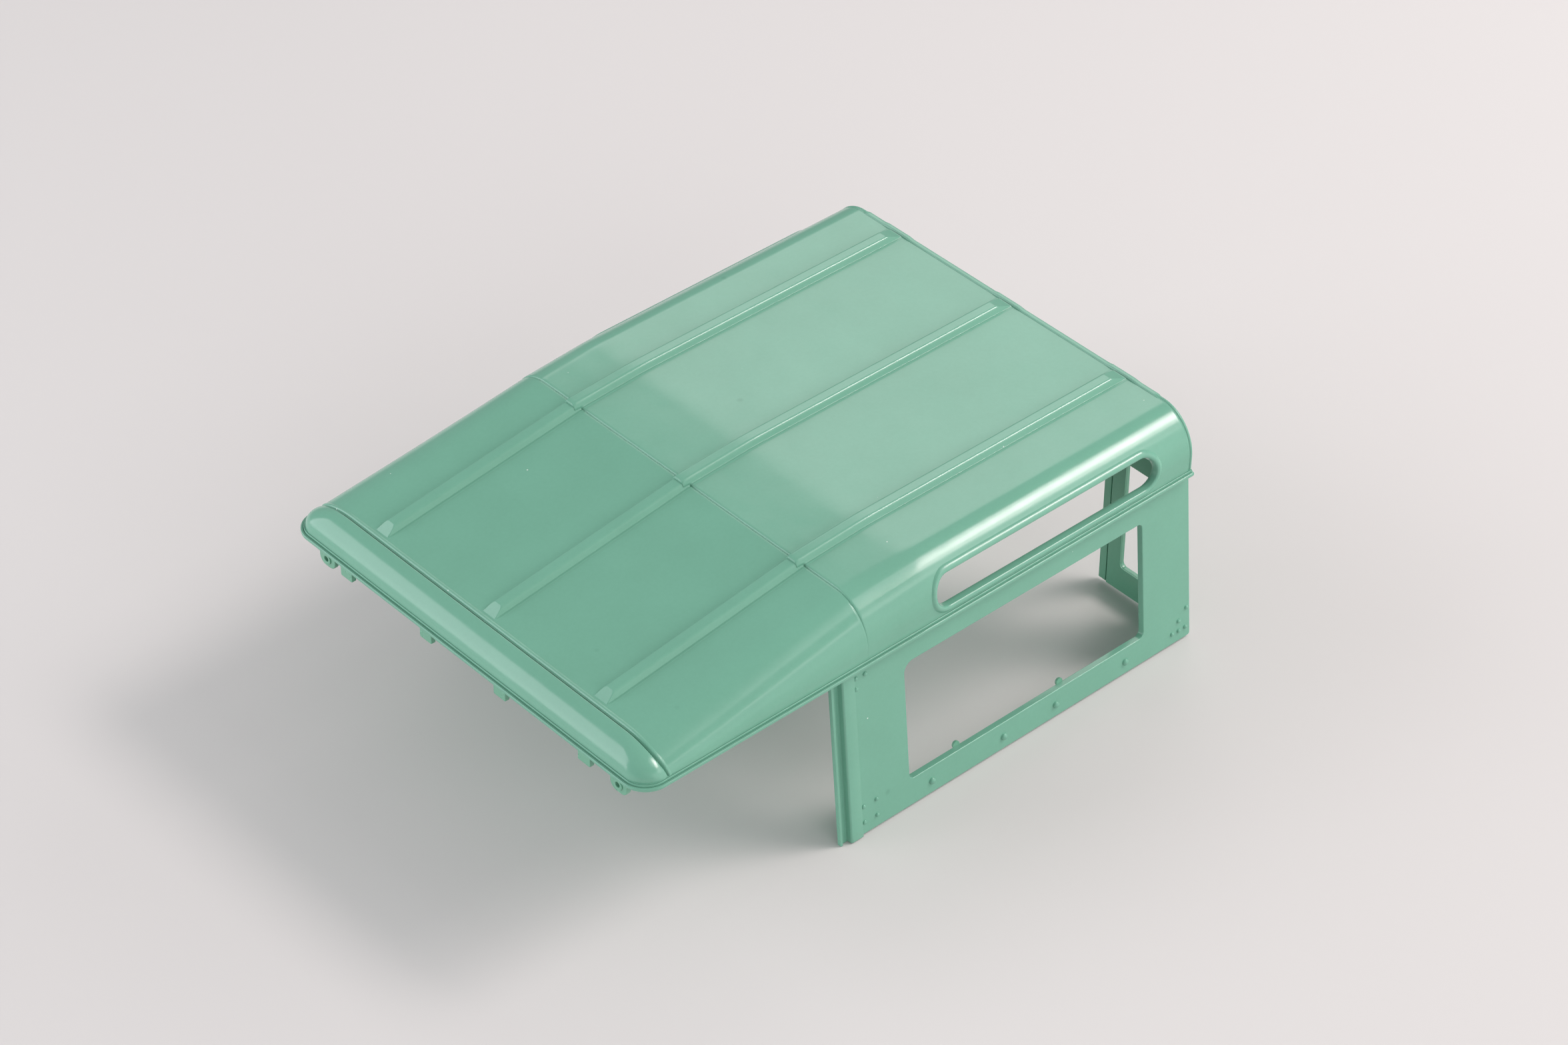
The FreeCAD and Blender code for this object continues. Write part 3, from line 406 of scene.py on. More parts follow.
def plastic(name, base, rough, coat, dust=1.0, mottle=1.0, bump=1.0):
    """Moulded styrene: an even tint, a faint flow mottle, fine grain, a few sink marks, scratches and dust."""
    m = bpy.data.materials.new(name)
    m.use_nodes = True
    nt = m.node_tree
    nt.nodes.clear()
    out = node(nt, "ShaderNodeOutputMaterial")
    bs = node(nt, "ShaderNodeBsdfPrincipled")
    nt.links.new(bs.outputs[0], out.inputs[0])
    bs.inputs["IOR"].default_value = 1.6
    tc = node(nt, "ShaderNodeTexCoord")
    L = nt.links.new

    def noise(scale, detail, rough_=0.5, vec=None):
        n = node(nt, "ShaderNodeTexNoise")
        n.inputs["Scale"].default_value = scale
        n.inputs["Detail"].default_value = detail
        n.inputs["Roughness"].default_value = rough_
        L(vec or tc.outputs["Object"], n.inputs["Vector"])
        return n

    def ramp(src, lo, hi, c0=(0, 0, 0, 1), c1=(1, 1, 1, 1)):
        r = node(nt, "ShaderNodeValToRGB")
        r.color_ramp.elements[0].position, r.color_ramp.elements[1].position = lo, hi
        r.color_ramp.elements[0].color, r.color_ramp.elements[1].color = c0, c1
        L(src, r.inputs[0])
        return r

    def mix(fac, a, b):
        x = node(nt, "ShaderNodeMix", data_type="RGBA")
        if isinstance(fac, (int, float)):
            x.inputs[0].default_value = fac
        else:
            L(fac, x.inputs[0])
        for i, s in ((6, a), (7, b)):
            if isinstance(s, tuple):
                x.inputs[i].default_value = s
            else:
                L(s, x.inputs[i])
        return x.outputs[2]

    def math_(op, a, b=None):
        x = node(nt, "ShaderNodeMath", operation=op)
        for i, s in enumerate((a, b)):
            if s is None:
                continue
            if isinstance(s, (int, float)):
                x.inputs[i].default_value = s
            else:
                L(s, x.inputs[i])
        return x.outputs[0]

    r, g, b = base
    k = 0.055 * mottle
    flow = noise(38.0, 5.0, 0.55)
    tint = ramp(flow.outputs[0], 0.3, 0.7, (r * (1 - k), g * (1 - k), b * (1 - k), 1), (r * (1 + k), g * (1 + k * 0.8), b * (1 + k), 1))
    fine = noise(900.0, 3.0, 0.6)
    fine_t = ramp(fine.outputs[0], 0.35, 0.68, (r * 0.97, g * 0.975, b * 0.97, 1), (r * 1.03, g * 1.025, b * 1.03, 1))
    col = mix(0.4, tint.outputs[0], fine_t.outputs[0])
    # dust: small pale specks, most cells empty
    vo = node(nt, "ShaderNodeTexVoronoi", feature="F1")
    vo.inputs["Scale"].default_value = 260.0
    vo.inputs["Randomness"].default_value = 1.0
    L(tc.outputs["Object"], vo.inputs["Vector"])
    spot = ramp(vo.outputs["Distance"], 0.035, 0.075, (1, 1, 1, 1), (0, 0, 0, 1))
    sep = node(nt, "ShaderNodeSeparateColor")
    L(vo.outputs["Color"], sep.inputs[0])
    keep = math_("GREATER_THAN", sep.outputs[0], 0.955)
    speck = math_("MULTIPLY", math_("MULTIPLY", spot.outputs[0], keep), 0.75 * dust)
    col = mix(speck, col, (0.72, 0.78, 0.75, 1))
    # a few small round sink marks, slightly darker
    vs = node(nt, "ShaderNodeTexVoronoi", feature="F1")
    vs.inputs["Scale"].default_value = 62.0
    L(tc.outputs["Object"], vs.inputs["Vector"])
    sink_r = ramp(vs.outputs["Distance"], 0.04, 0.085, (1, 1, 1, 1), (0, 0, 0, 1))
    sep2 = node(nt, "ShaderNodeSeparateColor")
    L(vs.outputs["Color"], sep2.inputs[0])
    sink = math_("MULTIPLY", math_("MULTIPLY", sink_r.outputs[0], math_("GREATER_THAN", sep2.outputs[1], 0.93)), 0.35 * mottle)
    col = mix(sink, col, (r * 0.6, g * 0.66, b * 0.66, 1))
    L(col, bs.inputs["Base Color"])
    # gloss: satin, a little uneven
    rn = noise(120.0, 4.0, 0.6)
    rr = ramp(rn.outputs[0], 0.3, 0.7, (rough - 0.03,) * 3 + (1,), (rough + 0.035,) * 3 + (1,))
    L(math_("MAXIMUM", rr.outputs[0], math_("MULTIPLY", speck, 0.8)), bs.inputs["Roughness"])
    bs.inputs["IOR"].default_value = 1.52
    bs.inputs["Coat Weight"].default_value = coat
    bs.inputs["Coat Roughness"].default_value = max(rough * 0.55, 0.08)
    bs.inputs["Subsurface Weight"].default_value = 0.0
    # relief: mould grain, slow waviness, hairline scratches
    wavy = noise(55.0, 2.0, 0.4)
    grain = noise(2600.0, 2.0, 0.5)
    mp = node(nt, "ShaderNodeMapping")
    mp.inputs["Rotation"].default_value = (0.0, 0.0, 0.7)
    mp.inputs["Scale"].default_value = (14.0, 420.0, 60.0)
    L(tc.outputs["Object"], mp.inputs["Vector"])
    scratch = node(nt, "ShaderNodeTexNoise")
    scratch.inputs["Scale"].default_value = 1.6
    scratch.inputs["Detail"].default_value = 2.0
    L(mp.outputs[0], scratch.inputs["Vector"])
    line = ramp(scratch.outputs[0], 0.68, 0.74)
    b1 = node(nt, "ShaderNodeBump")
    b1.inputs["Strength"].default_value = 0.35 * bump
    b1.inputs["Distance"].default_value = 0.00035
    L(wavy.outputs[0], b1.inputs["Height"])
    b2 = node(nt, "ShaderNodeBump")
    b2.inputs["Strength"].default_value = 0.10 * bump
    b2.inputs["Distance"].default_value = 0.00003
    L(grain.outputs[0], b2.inputs["Height"])
    L(b1.outputs[0], b2.inputs["Normal"])
    b3 = node(nt, "ShaderNodeBump")
    b3.inputs["Strength"].default_value = 0.12 * bump
    b3.inputs["Distance"].default_value = 0.00002
    b3.invert = True
    L(line.outputs[0], b3.inputs["Height"])
    L(b2.outputs[0], b3.inputs["Normal"])
    L(b3.outputs[0], bs.inputs["Normal"])
    return m


def steel(name):
    m = bpy.data.materials.new(name)
    m.use_nodes = True
    nt = m.node_tree
    bs = nt.nodes["Principled BSDF"]
    tc = node(nt, "ShaderNodeTexCoord")
    n = node(nt, "ShaderNodeTexNoise")
    n.inputs["Scale"].default_value = 900.0
    n.inputs["Detail"].default_value = 4.0
    nt.links.new(tc.outputs["Object"], n.inputs["Vector"])
    r = node(nt, "ShaderNodeValToRGB")
    r.color_ramp.elements[0].color, r.color_ramp.elements[1].color = (0.36, 0.36, 0.37, 1), (0.55, 0.55, 0.56, 1)
    nt.links.new(n.outputs[0], r.inputs[0])
    nt.links.new(r.outputs[0], bs.inputs["Base Color"])
    bs.inputs["Metallic"].default_value = 1.0
    q = node(nt, "ShaderNodeValToRGB")
    q.color_ramp.elements[0].color, q.color_ramp.elements[1].color = (0.24,) * 3 + (1,), (0.4,) * 3 + (1,)
    nt.links.new(n.outputs[0], q.inputs[0])
    nt.links.new(q.outputs[0], bs.inputs["Roughness"])
    return m


GREEN = plastic("moulded_green", (0.157, 0.382, 0.277), 0.17, 0.0)
# darker copy of the same green plastic: painted shade for the glazing pegs and the clip strip, which sit in shade
# inside and under the body
INNER_SHADED = plastic("inner_green", (0.145, 0.365, 0.25), 0.28, 0.0, dust=0.5)
# darker copy of the same green plastic: painted shade for the rear corner panels, which stand in shade inside the body
CORNER_SHADED = plastic("corner_green_painted_shade", (0.135, 0.355, 0.24), 0.22, 0.0, dust=0.5)
STEEL = steel("screw_steel")

# ------------------------------------------------------------------ rear roof panel
LIP_H, LIP_W = 0.5, 1.9
SLOT = (14.9, 102.1, 67.3, 5.1)  # rear end, front end, middle height, radius


def rib_height(x, y, front):
    """Rib height over the skin at x: full height between the end ramps."""
    x = float(x)
    if not front:
        f = 0.12 + 0.88 * min(1.0, max(0.0, (x - 2.3) / (7.4 - 2.3))) if x > 1.95 else 0.0
        H = 2.0
    else:
        f = 1.0 - min(1.0, max(0.0, (x - 196.4) / (199.9 - 196.4)))
        H = 1.85
    h = np.zeros_like(np.asarray(y, float))
    for c in RIBS:
        h = np.maximum(h, rib_profile(y - c) * H)
    return np.minimum(h, f * H + 0.0) if f < 1 else h


def rear_rows():
    xs = {1.9, 1.96, 2.05, 2.15, 2.3} | set(np.round(np.arange(2.6, 7.0, 0.45), 3).tolist()) | {7.1, 7.25, 7.33, 7.4, 7.48, 7.6, 8.0}
    xs |= set(np.arange(9, 99, 4.5).tolist())
    xs |= set(np.arange(99, 112, 1.0).tolist())
    xs |= set(np.arange(112, 126, 2.5).tolist())
    xs |= {126.8, 127.4, 127.72, 127.84, 127.95, 128.05, 128.14, 128.21, 128.26, 128.29, 128.3}
    return sorted(xs)


def drop_at_seam(x):
    """Rounded front edge of the rear panel, where it stands over the front panel."""
    e = np.clip((x - 127.72) / 0.58, 0, 1)
    return 0.42 * (1 - math.sqrt(max(0.0, 1 - e * e)))


def build_rear():
    xs = rear_rows()
    outer, inner = [], []
    for x in xs:
        p, n = section(x)
        q, _ = section(x, WALL)
        y = p[:, 0]
        h = rib_height(x, y, False)
        step = np.zeros_like(y)
        for c in RIBS:
            step = np.maximum(step, 0.11 * (1 - smooth(3.12, 3.28, np.abs(y - c))))
        step *= float(smooth(5.5, 8.0, x))
        flat_part = n[:, 1] > 0.999
        seam_line = 0.09 * np.exp(-(((np.abs(y) - 62.2) / 0.22) ** 2)) * (1 - float(smooth(102, 104, x)))
        lift = np.where(flat_part, h + step * (h < 5), 0.0) - seam_line
        lift = lift - drop_at_seam(x) * n[:, 1]
        px = np.full(len(y), x)
        if x > 126.5:  # the rib ends lap over the front panel's ribs
            m = np.zeros_like(y)
            for c in RIBS:
                m = np.maximum(m, 1 - smooth(2.32, 2.44, np.abs(y - c)))
            px = px + 2.5 * m * ((x - 126.5) / (SEAM - 126.5))
            lift = lift + np.where(m > 0.5, (px - x) * SLOPE1 * 1.4, 0.0)
        outer.append(np.stack([px, p[:, 0] + n[:, 0] * lift, p[:, 1] + n[:, 1] * lift], 1))
        inner.append(np.stack([px, q[:, 0], q[:, 1]], 1))
    return shell(np.array(outer), np.array(inner))


def slot_loop(d, arc=20, run=40):
    """Stadium outline of the side slot, grown by d, as (x, z), anticlockwise seen from outside (+Y)."""
    x0, x1, zm, r = SLOT
    a, b = x0 + r, x1 - r
    R = r + d
    pts = []
    for k in range(run):
        t = k / run
        pts.append((b + (a - b) * t, zm + R))
    for k in range(arc):
        t = math.pi / 2 + math.pi * k / arc
        pts.append((a + R * math.cos(t), zm + R * math.sin(t)))
    for k in range(run):
        t = k / run
        pts.append((a + (b - a) * t, zm - R))
    for k in range(arc):
        t = -math.pi / 2 + math.pi * k / arc
        pts.append((b + R * math.cos(t), zm + R * math.sin(t)))
    return np.array(pts)


def on_skin(x, z):
    """Place and outward direction on the rear panel's left side at (x, z)."""
    yc, low, wide, tall = (float(v) for v in corner(min(x, BEND)))
    if z <= low:
        return np.array([x, HALF, z]), np.array([0.0, 1.0, 0.0])
    s = min(0.999, (z - low) / tall)
    c = math.sqrt(1 - s * s)
    n = np.array([0.0, c / wide, s / tall])
    return np.array([x, yc + wide * c, z]), n / np.linalg.norm(n)


def build_lip():
    """Raised rounded lip round the slot, with the slot's wall through the skin."""
    prof = [(2.15, -0.45), (2.1, -0.06), (1.98, 0.02), (1.82, 0.13), (1.62, 0.28), (1.38, 0.42), (1.1, 0.5), (0.8, 0.5),
            (0.52, 0.45), (0.3, 0.34), (0.14, 0.2), (0.04, 0.04), (0.0, -0.14), (0.0, -1.2), (0.0, -2.05), (0.12, -2.2), (0.9, -2.2), (0.9, -0.45)]
    rings = []
    for d, h in prof:
        lp = slot_loop(d)
        ring = []
        for x, z in lp:
            zc = max(z, 60.3)
            p, n = on_skin(x, zc)
            hh = h
            ring.append(p + n * hh)
        rings.append(ring)
    R = np.array(rings).transpose(1, 0, 2)  # along the loop, across the profile
    return sweep(lambda i: R[i], len(R), closed_path=True)


def slot_tool(d):
    lp = slot_loop(d, 24, 2)
    a = np.array([(x, 60.0, z) for x, z in lp])
    b = np.array([(x, 84.0, z) for x, z in lp])
    n = len(lp)
    F = [[k, (k + 1) % n, n + (k + 1) % n, n + k] for k in range(n)]
    F += [list(range(n))[::-1], [n + k for k in range(n)]]
    return np.concatenate([a, b]), F


rear = piece("rear_roof_panel_skin", build_rear(), ["rear_roof_panel"], [GREEN], 50)
cut(rear, [slot_tool(0.75), mirrored(slot_tool(0.75))])
rear.data.shade_smooth()
rear.data.set_sharp_from_angle(angle=math.radians(50))
piece("alpine_slot_lips", join(build_lip(), mirrored(build_lip())), [], [GREEN], 50)


# ------------------------------------------------------------------ front roof panel
def groove_shift(z):
    """The groove leans back a little towards the gutter."""
    return -1.0 * smooth(66.0, 59.5, z)


def build_front():
    xs = [128.32, 128.36, 128.45, 128.6, 128.8, 129.1, 129.6, 130.4, 131.5, 133, 136]
    xs += np.arange(140, 194, 4.5).tolist()
    xs += [195.4, 196.0, 196.25, 196.35, 196.4, 196.46, 196.6] + np.arange(196.9, 199.6, 0.3).tolist() + [199.7, 199.82, 199.9, 199.98, 200.2, 200.45, 200.6]
    xs += [200.75, 200.9, 201.05, 201.2, 201.33, 201.45, 201.56, 201.66, 201.75, 201.82, 201.88]
    outer, inner = [], []
    for x in xs:
        p, n = section(x)
        q, _ = section(x, WALL)
        y = p[:, 0]
        h = rib_height(x, y, True)
        flat_part = n[:, 1] > 0.999
        lift = np.where(flat_part, h, 0.0)
        gut = 0.16 * math.exp(-(((x - 128.45) / 0.16) ** 2))
        lift = lift - gut * n[:, 1]
        bead = 0.16 * float(smooth(200.55, 200.9, x)) - 0.75 * float(smooth(201.2, 201.9, x)) ** 1.5
        lift = lift + bead
        px = x + groove_shift(p[:, 1]) * float(smooth(185, 200.5, x))
        outer.append(np.stack([px, p[:, 0] + n[:, 0] * lift, p[:, 1] + n[:, 1] * lift], 1))
        inner.append(np.stack([px, q[:, 0], q[:, 1]], 1))
    return shell(np.array(outer), np.array(inner))


piece("front_roof_panel_skin", build_front(), ["front_roof_panel"], [GREEN], 50)


# ------------------------------------------------------------------ windscreen header
def bottom_outline(p, n, r, half, reach):
    """Where each column of the groove's section comes down on the gutter."""
    out = []
    yc, low, wide, tall = (float(v) for v in corner(GROOVE))
    for (y, z), (kind, v, side) in zip(p, COLS):
        s = 1 if y >= 0 else -1
        if kind in ("flat", "edge"):
            out.append((GROOVE + reach, y * (half - r) / yc))
        elif kind == "arc":
            phi = math.pi / 2 * v
            out.append((GROOVE + reach - r + r * math.sin(phi), s * (half - r + r * math.cos(phi))))
        else:
            out.append((GROOVE + reach - r, s * half))
    return np.array(out)


def build_header():
    ts = [0.0, 0.008, 0.016, 0.024, 0.033, 0.043, 0.055, 0.07, 0.09] + np.linspace(0.12, 1.0, 22).tolist()
    p, n = section(GROOVE)
    q, _ = section(GROOVE, WALL)
    B = bottom_outline(p, n, 7.6, HALF, 7.8)
    C = bottom_outline(q, n, 5.4, HALF - WALL, 5.6)
    outer, inner = [], []
    for t in ts:
        a, c = math.sin(t * math.pi / 2), math.cos(t * math.pi / 2)
        drop = -0.75 * (1 - float(smooth(0.0, 0.062, t))) ** 1.3
        sh = groove_shift(p[:, 1]) * (1 - a)
        x = GROOVE - 0.08 + sh + (B[:, 0] - GROOVE + 0.08) * a
        y = p[:, 0] + (B[:, 1] - p[:, 0]) * a
        z = FOOT + (p[:, 1] - FOOT) * c
        outer.append(np.stack([x, y + n[:, 0] * drop, z + n[:, 1] * drop], 1))
        x = GROOVE - 0.08 + sh + (C[:, 0] - GROOVE + 0.08) * a
        y = q[:, 0] + (C[:, 1] - q[:, 0]) * a
        z = FOOT + (np.maximum(q[:, 1], FOOT) - FOOT) * c
        inner.append(np.stack([x, y, z], 1))
    return shell(np.array(outer), np.array(inner))


piece("windscreen_header_skin", build_header(), ["windscreen_header"], [GREEN], 50)


# ------------------------------------------------------------------ rear edge strip and corner rims
def build_rear_edge():
    xs = [0.0, 0.06, 0.16, 0.3, 0.5, 0.8, 1.0, 1.2, 1.45, 1.62, 1.74, 1.82, 1.87]
    outer, inner = [], []
    for x in xs:
        p, n = section(1.9)
        q, _ = section(1.9, WALL)
        y = p[:, 0]
        up = n[:, 1] > 0.999
        inside = up & (np.abs(y) < 62.3)
        edge = 0.55 * (1 - math.sqrt(max(0.0, 1 - (1 - min(1, x / 0.5)) ** 2)))
        tail = 0.5 * (1 - math.sqrt(max(0.0, 1 - (max(0.0, x - 1.5) / 0.37) ** 2)))
        lift = np.where(inside, 0.3 - edge - tail, 0.0)
        pad = np.zeros_like(y)
        for c in RIBS:
            pad = np.maximum(pad, 0.3 * (1 - smooth(5.4, 5.7, np.abs(y - c))))
        lift = lift + np.where(inside, pad * (1 - float(smooth(1.55, 1.85, x))), 0.0)
        rim_edge = 0.85 * (1 - math.sqrt(max(0.0, 1 - (1 - min(1, x / 0.8)) ** 2)))
        rim = 0.1 - rim_edge - 0.28 * float(smooth(0.95, 1.1, x)) + 0.1 * float(smooth(1.3, 1.8, x))
        lift = np.where(inside, lift, rim)
        outer.append(np.stack([np.full(len(y), x), p[:, 0] + n[:, 0] * lift, p[:, 1] + n[:, 1] * lift], 1))
        inner.append(np.stack([np.full(len(y), x), q[:, 0], q[:, 1]], 1))
    return shell(np.array(outer), np.array(inner))


piece("rear_roof_edge_strip", build_rear_edge(), ["rear_roof_edge"], [GREEN], 45)

# ------------------------------------------------------------------ drip rails
RAIL_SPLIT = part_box("front_drip_rail")[0].x * 1000 + SX
RAD = 8.0


def rail_path(x_from, with_corner):
    """Outer outline of the rail with its inward direction, on the left side from x_from forward."""
    pts = []
    xe = END - RAD
    n = max(2, int((xe - x_from) / 6))
    for k in range(n):
        x = x_from + (xe - x_from) * k / n
        pts.append((x, 77.4, 0.0, -1.0))
    if with_corner:
        for k in range(17):
            t = math.pi / 2 * k / 16
            pts.append((xe + RAD * math.sin(t), 77.4 - RAD + RAD * math.cos(t), -math.sin(t), -math.cos(t)))
    return pts


FRONT_PROFILE = [(0.0, 58.3), (0.0, 58.9), (0.03, 59.05), (0.11, 59.15), (0.2, 59.19), (0.29, 59.17), (0.36, 59.12), (0.44, 59.12), (0.51, 59.17),
                 (0.6, 59.18), (0.67, 59.12), (0.72, 59.0), (0.75, 58.88), (0.84, 58.86), (0.87, 59.0), (0.88, 59.52), (0.9, 59.66), (0.97, 59.75),
                 (1.06, 59.77), (1.12, 59.75), (1.15, 59.5), (1.19, 59.5), (1.21, 59.6), (1.21, 60.02), (4.6, 60.02), (4.6, 58.94), (0.9, 58.84),
                 (0.9, 58.14), (0.15, 58.14), (0.04, 58.19)]
SIDE_PROFILE = [(0.0, 58.4), (0.0, 58.75), (0.03, 58.92), (0.11, 59.06), (0.23, 59.16), (0.37, 59.21), (0.5, 59.2), (0.6, 59.15), (0.66, 59.06),
                (0.7, 59.0), (0.74, 58.96), (0.79, 58.94), (0.84, 58.96), (0.87, 59.05), (0.88, 59.52), (0.9, 59.66), (0.97, 59.75),
                (1.06, 59.77), (1.12, 59.75), (1.15, 59.5), (1.19, 59.5), (1.21, 59.6), (1.21, 60.02), (4.6, 60.02), (4.6, 58.94), (0.9, 58.84),
                (0.9, 58.12), (0.2, 58.12), (0.07, 58.17), (0.02, 58.26)]


def rail_sweep(path, profile, taper=None):
    rings = []
    for i, (x, y, dx, dy) in enumerate(path):
        k = 0.0 if taper is None else taper[i]
        mid = 58.8
        rings.append([(x + dx * (o + k * (0.33 - o) * (1 if o < 0.7 else 0)), y + dy * (o + k * (0.33 - o) * (1 if o < 0.7 else 0)),
                       z + k * (mid - z) * 0.9) for o, z in profile])
    return sweep(lambda i: rings[i], len(rings))


left_half = rail_path(RAIL_SPLIT, True)
right_half = [(x, -y, dx, -dy) for x, y, dx, dy in reversed(left_half)]
piece("front_drip_rail_bead", rail_sweep(left_half + right_half, FRONT_PROFILE), ["front_drip_rail"], [GREEN], 40)

rear_path, rear_taper = [], []
for x, k in ((0.0, 0.75), (0.07, 0.45), (0.2, 0.2), (0.4, 0.05), (0.6, 0.0)):
    rear_path.append((x, 77.4, 0.0, -1.0))
    rear_taper.append(k)
for x in np.arange(6.0, 107.0, 6.0):
    rear_path.append((float(x), 77.4, 0.0, -1.0))
    rear_taper.append(0.0)
rear_path.append((107.6, 77.4, 0.0, -1.0))
rear_taper.append(0.0)
left_rear_rail = rail_sweep(rear_path, SIDE_PROFILE, rear_taper)
mid_path = [(107.6, 77.4, 0.0, -1.0)] + [(x, 77.4, 0.0, -1.0) for x in np.linspace(108, RAIL_SPLIT, 14)]
left_mid_rail = rail_sweep(mid_path, FRONT_PROFILE)
piece("left_drip_rail_bead", join(left_rear_rail, left_mid_rail), ["left_drip_rail"], [GREEN], 40)
piece("right_drip_rail_bead", mirrored(join(left_rear_rail, left_mid_rail)), ["right_drip_rail"], [GREEN], 40)

# ------------------------------------------------------------------ side panels
low_s, top_s = s_of(0.0), 0.0
outline = round_poly([(0.0, top_s, 0.0), (0.0, low_s, 0.9), (137.3, low_s, 0.25), (137.3, top_s, 0.0)][::-1], 6)
win = round_poly([(19.5, s_of(49.6), 1.8), (114.0, s_of(49.6), 3.3), (114.0, s_of(9.1), 1.8), (19.5, s_of(9.1), 1.8)], 8)


def orient(loop, ccw):
    a = np.asarray(loop)
    area = 0.5 * np.sum(a[:, 0] * np.roll(a[:, 1], -1) - np.roll(a[:, 0], -1) * a[:, 1])
    return a if (area > 0) == ccw else a[::-1]


side_plate = plate([orient(outline, True), orient(win, False)], WALL, 0.28, side_place)
tab_loop = round_poly([(107.0, 75 - WALL - 9.0, 1.0), (130.0, 75 - WALL - 9.0, 1.0), (130.0, 74.0, 0.0), (107.0, 74.0, 0.0)], 5)
tab_holes = [np.array([(x + 1.0 * math.cos(-2 * math.pi * k / 24), 68.4 + 1.0 * math.sin(-2 * math.pi * k / 24)) for k in range(24)]) for x in (111.5, 124.5)]
side_tab = plate([orient(tab_loop, True)] + [orient(h, False) for h in tab_holes], 1.3, 0.15, lambda P: P + np.array([0, 0, SEAT - 0.9]))
left_side = join(side_plate, side_tab)
piece("left_side_panel_wall", left_side, ["left_side_panel"], [GREEN], 40, weighted=True)
piece("right_side_panel_wall", mirrored(left_side), ["right_side_panel"], [GREEN], 40, weighted=True)


# ------------------------------------------------------------------ rivets
def dome(c, rad, tall, axis, seg=28, rings=7):
    """A moulded rivet head: a low dome with a soft foot."""
    c, axis = np.asarray(c, float), np.asarray(axis, float)
    axis = axis / np.linalg.norm(axis)
    e1 = np.array([1.0, 0, 0]) - axis * axis[0]
    e1 /= np.linalg.norm(e1)
    e2 = np.cross(axis, e1)
    V, F = [c + axis * tall], []
    prof = [(math.sin(math.pi / 2 * k / rings), math.cos(math.pi / 2 * k / rings)) for k in range(1, rings + 1)]
    prof = [(rad * s, tall * (0.12 + 0.88 * h)) for s, h in prof] + [(rad * 1.03, 0.02), (rad * 1.04, -0.25)]
    for r, h in prof:
        for k in range(seg):
            a = 2 * math.pi * k / seg
            V.append(c + e1 * (r * math.cos(a)) + e2 * (r * math.sin(a)) + axis * h)
    for k in range(seg):
        F.append([0, 1 + k, 1 + (k + 1) % seg])
    for j in range(len(prof) - 1):
        for k in range(seg):
            a, b = 1 + j * seg + k, 1 + j * seg + (k + 1) % seg
            F.append([a, a + seg, b + seg, b])
    F.append([1 + (len(prof) - 1) * seg + k for k in range(seg)][::-1])
    return np.array(V), F


OUT = np.array([0.0, math.cos(LEAN), math.sin(LEAN)])


def side_point(x, z, w=0.0):
    return side_place(np.array([[x, s_of(z), w]]))[0]


SMALL = [(128.7, 54.4), (132.2, 54.5), (132.2, 50.9), (127.0, 9.7), (132.0, 9.7), (127.0, 4.1), (131.9, 4.1), (1.5, 10.5), (4.8, 7.1), (2.0, 3.7), (4.8, 3.6), (7.6, 3.7)]
SILL = [(105.6, 4.2), (77.1, 4.2), (56.05, 4.2), (27.3, 4.2)]
small = join(*[dome(side_point(x, z), 0.70, 0.62, OUT) for x, z in SMALL])
sill = join(*[dome(side_point(x, z), 1.12, 0.95, OUT) for x, z in SILL])
piece("left_small_rivet_heads", small, ["left_small_rivets"], [GREEN], 60)
piece("right_small_rivet_heads", mirrored(small), ["right_small_rivets"], [GREEN], 60)
piece("left_sill_rivet_heads", sill, ["left_sill_rivets"], [GREEN], 60)
piece("right_sill_rivet_heads", mirrored(sill), ["right_sill_rivets"], [GREEN], 60)


def peg(x, z):
    """A glazing peg on the panel's inner face: a short round pin with a rounded end."""
    base = side_point(x, z, -WALL + 0.2)
    prof = [(1.25, 0.0), (1.25, 0.55), (1.2, 0.72), (1.08, 0.86), (0.9, 0.95), (0.5, 0.98)]
    axis = -OUT
    e1 = np.array([1.0, 0, 0])
    e2 = np.cross(axis, e1)
    seg = 28
    V, F = [], []
    for r, h in prof:
        for k in range(seg):
            a = 2 * math.pi * k / seg
            V.append(base + e1 * (r * math.cos(a)) + e2 * (r * math.sin(a)) + axis * h)
    for j in range(len(prof) - 1):
        for k in range(seg):
            a, b = j * seg + k, j * seg + (k + 1) % seg
            F.append([a, a + seg, b + seg, b])
    F.append(list(range(seg)))
    F.append([(len(prof) - 1) * seg + k for k in range(seg)][::-1])
    return np.array(V), F


pegs = join(peg(52.4, 9.35), peg(93.9, 9.35))
# the pins take the darker copy of the plastic: painted shade
piece("left_glazing_peg_pins", pegs, ["left_glazing_pegs"], [INNER_SHADED], 45)
piece("right_glazing_peg_pins", mirrored(pegs), ["right_glazing_pegs"], [INNER_SHADED], 45)

# ------------------------------------------------------------------ door posts
post = [(132.8, 0.02), (132.8, 0.28), (132.84, 0.36), (132.94, 0.4), (136.7, 0.4), (136.95, 0.36), (137.18, 0.22), (137.34, -0.02), (137.42, -0.3), (137.5, -1.45),
        (137.62, -1.6), (139.5, -1.6), (139.6, -1.5), (139.6, -1.02), (139.66, -0.93), (139.76, -0.9), (140.32, -0.9), (140.44, -0.94), (140.5, -1.05),
        (140.5, -2.1), (140.4, -2.2), (137.36, -2.2), (137.36, 0.02)]
s_list = [s_of(-0.4) - 0.0, s_of(-0.4) - 0.12, s_of(-0.4) - 0.3] + np.linspace(s_of(-0.4) - 3, 0.15, 8).tolist()


def post_ring(i):
    s = s_list[i]
    k = (0.14, 0.04, 0.0)[i] if i < 3 else 0.0
    pts = []
    for u, w in post:
        uu = u + (0.5 * (132.8 + 137.3) - u) * 0.0
        pts.append((uu + (k if u < 136 else -k), s, w - (k if w > 0.1 else (-k if w < -2 else 0))))
    return side_place(np.array(pts))


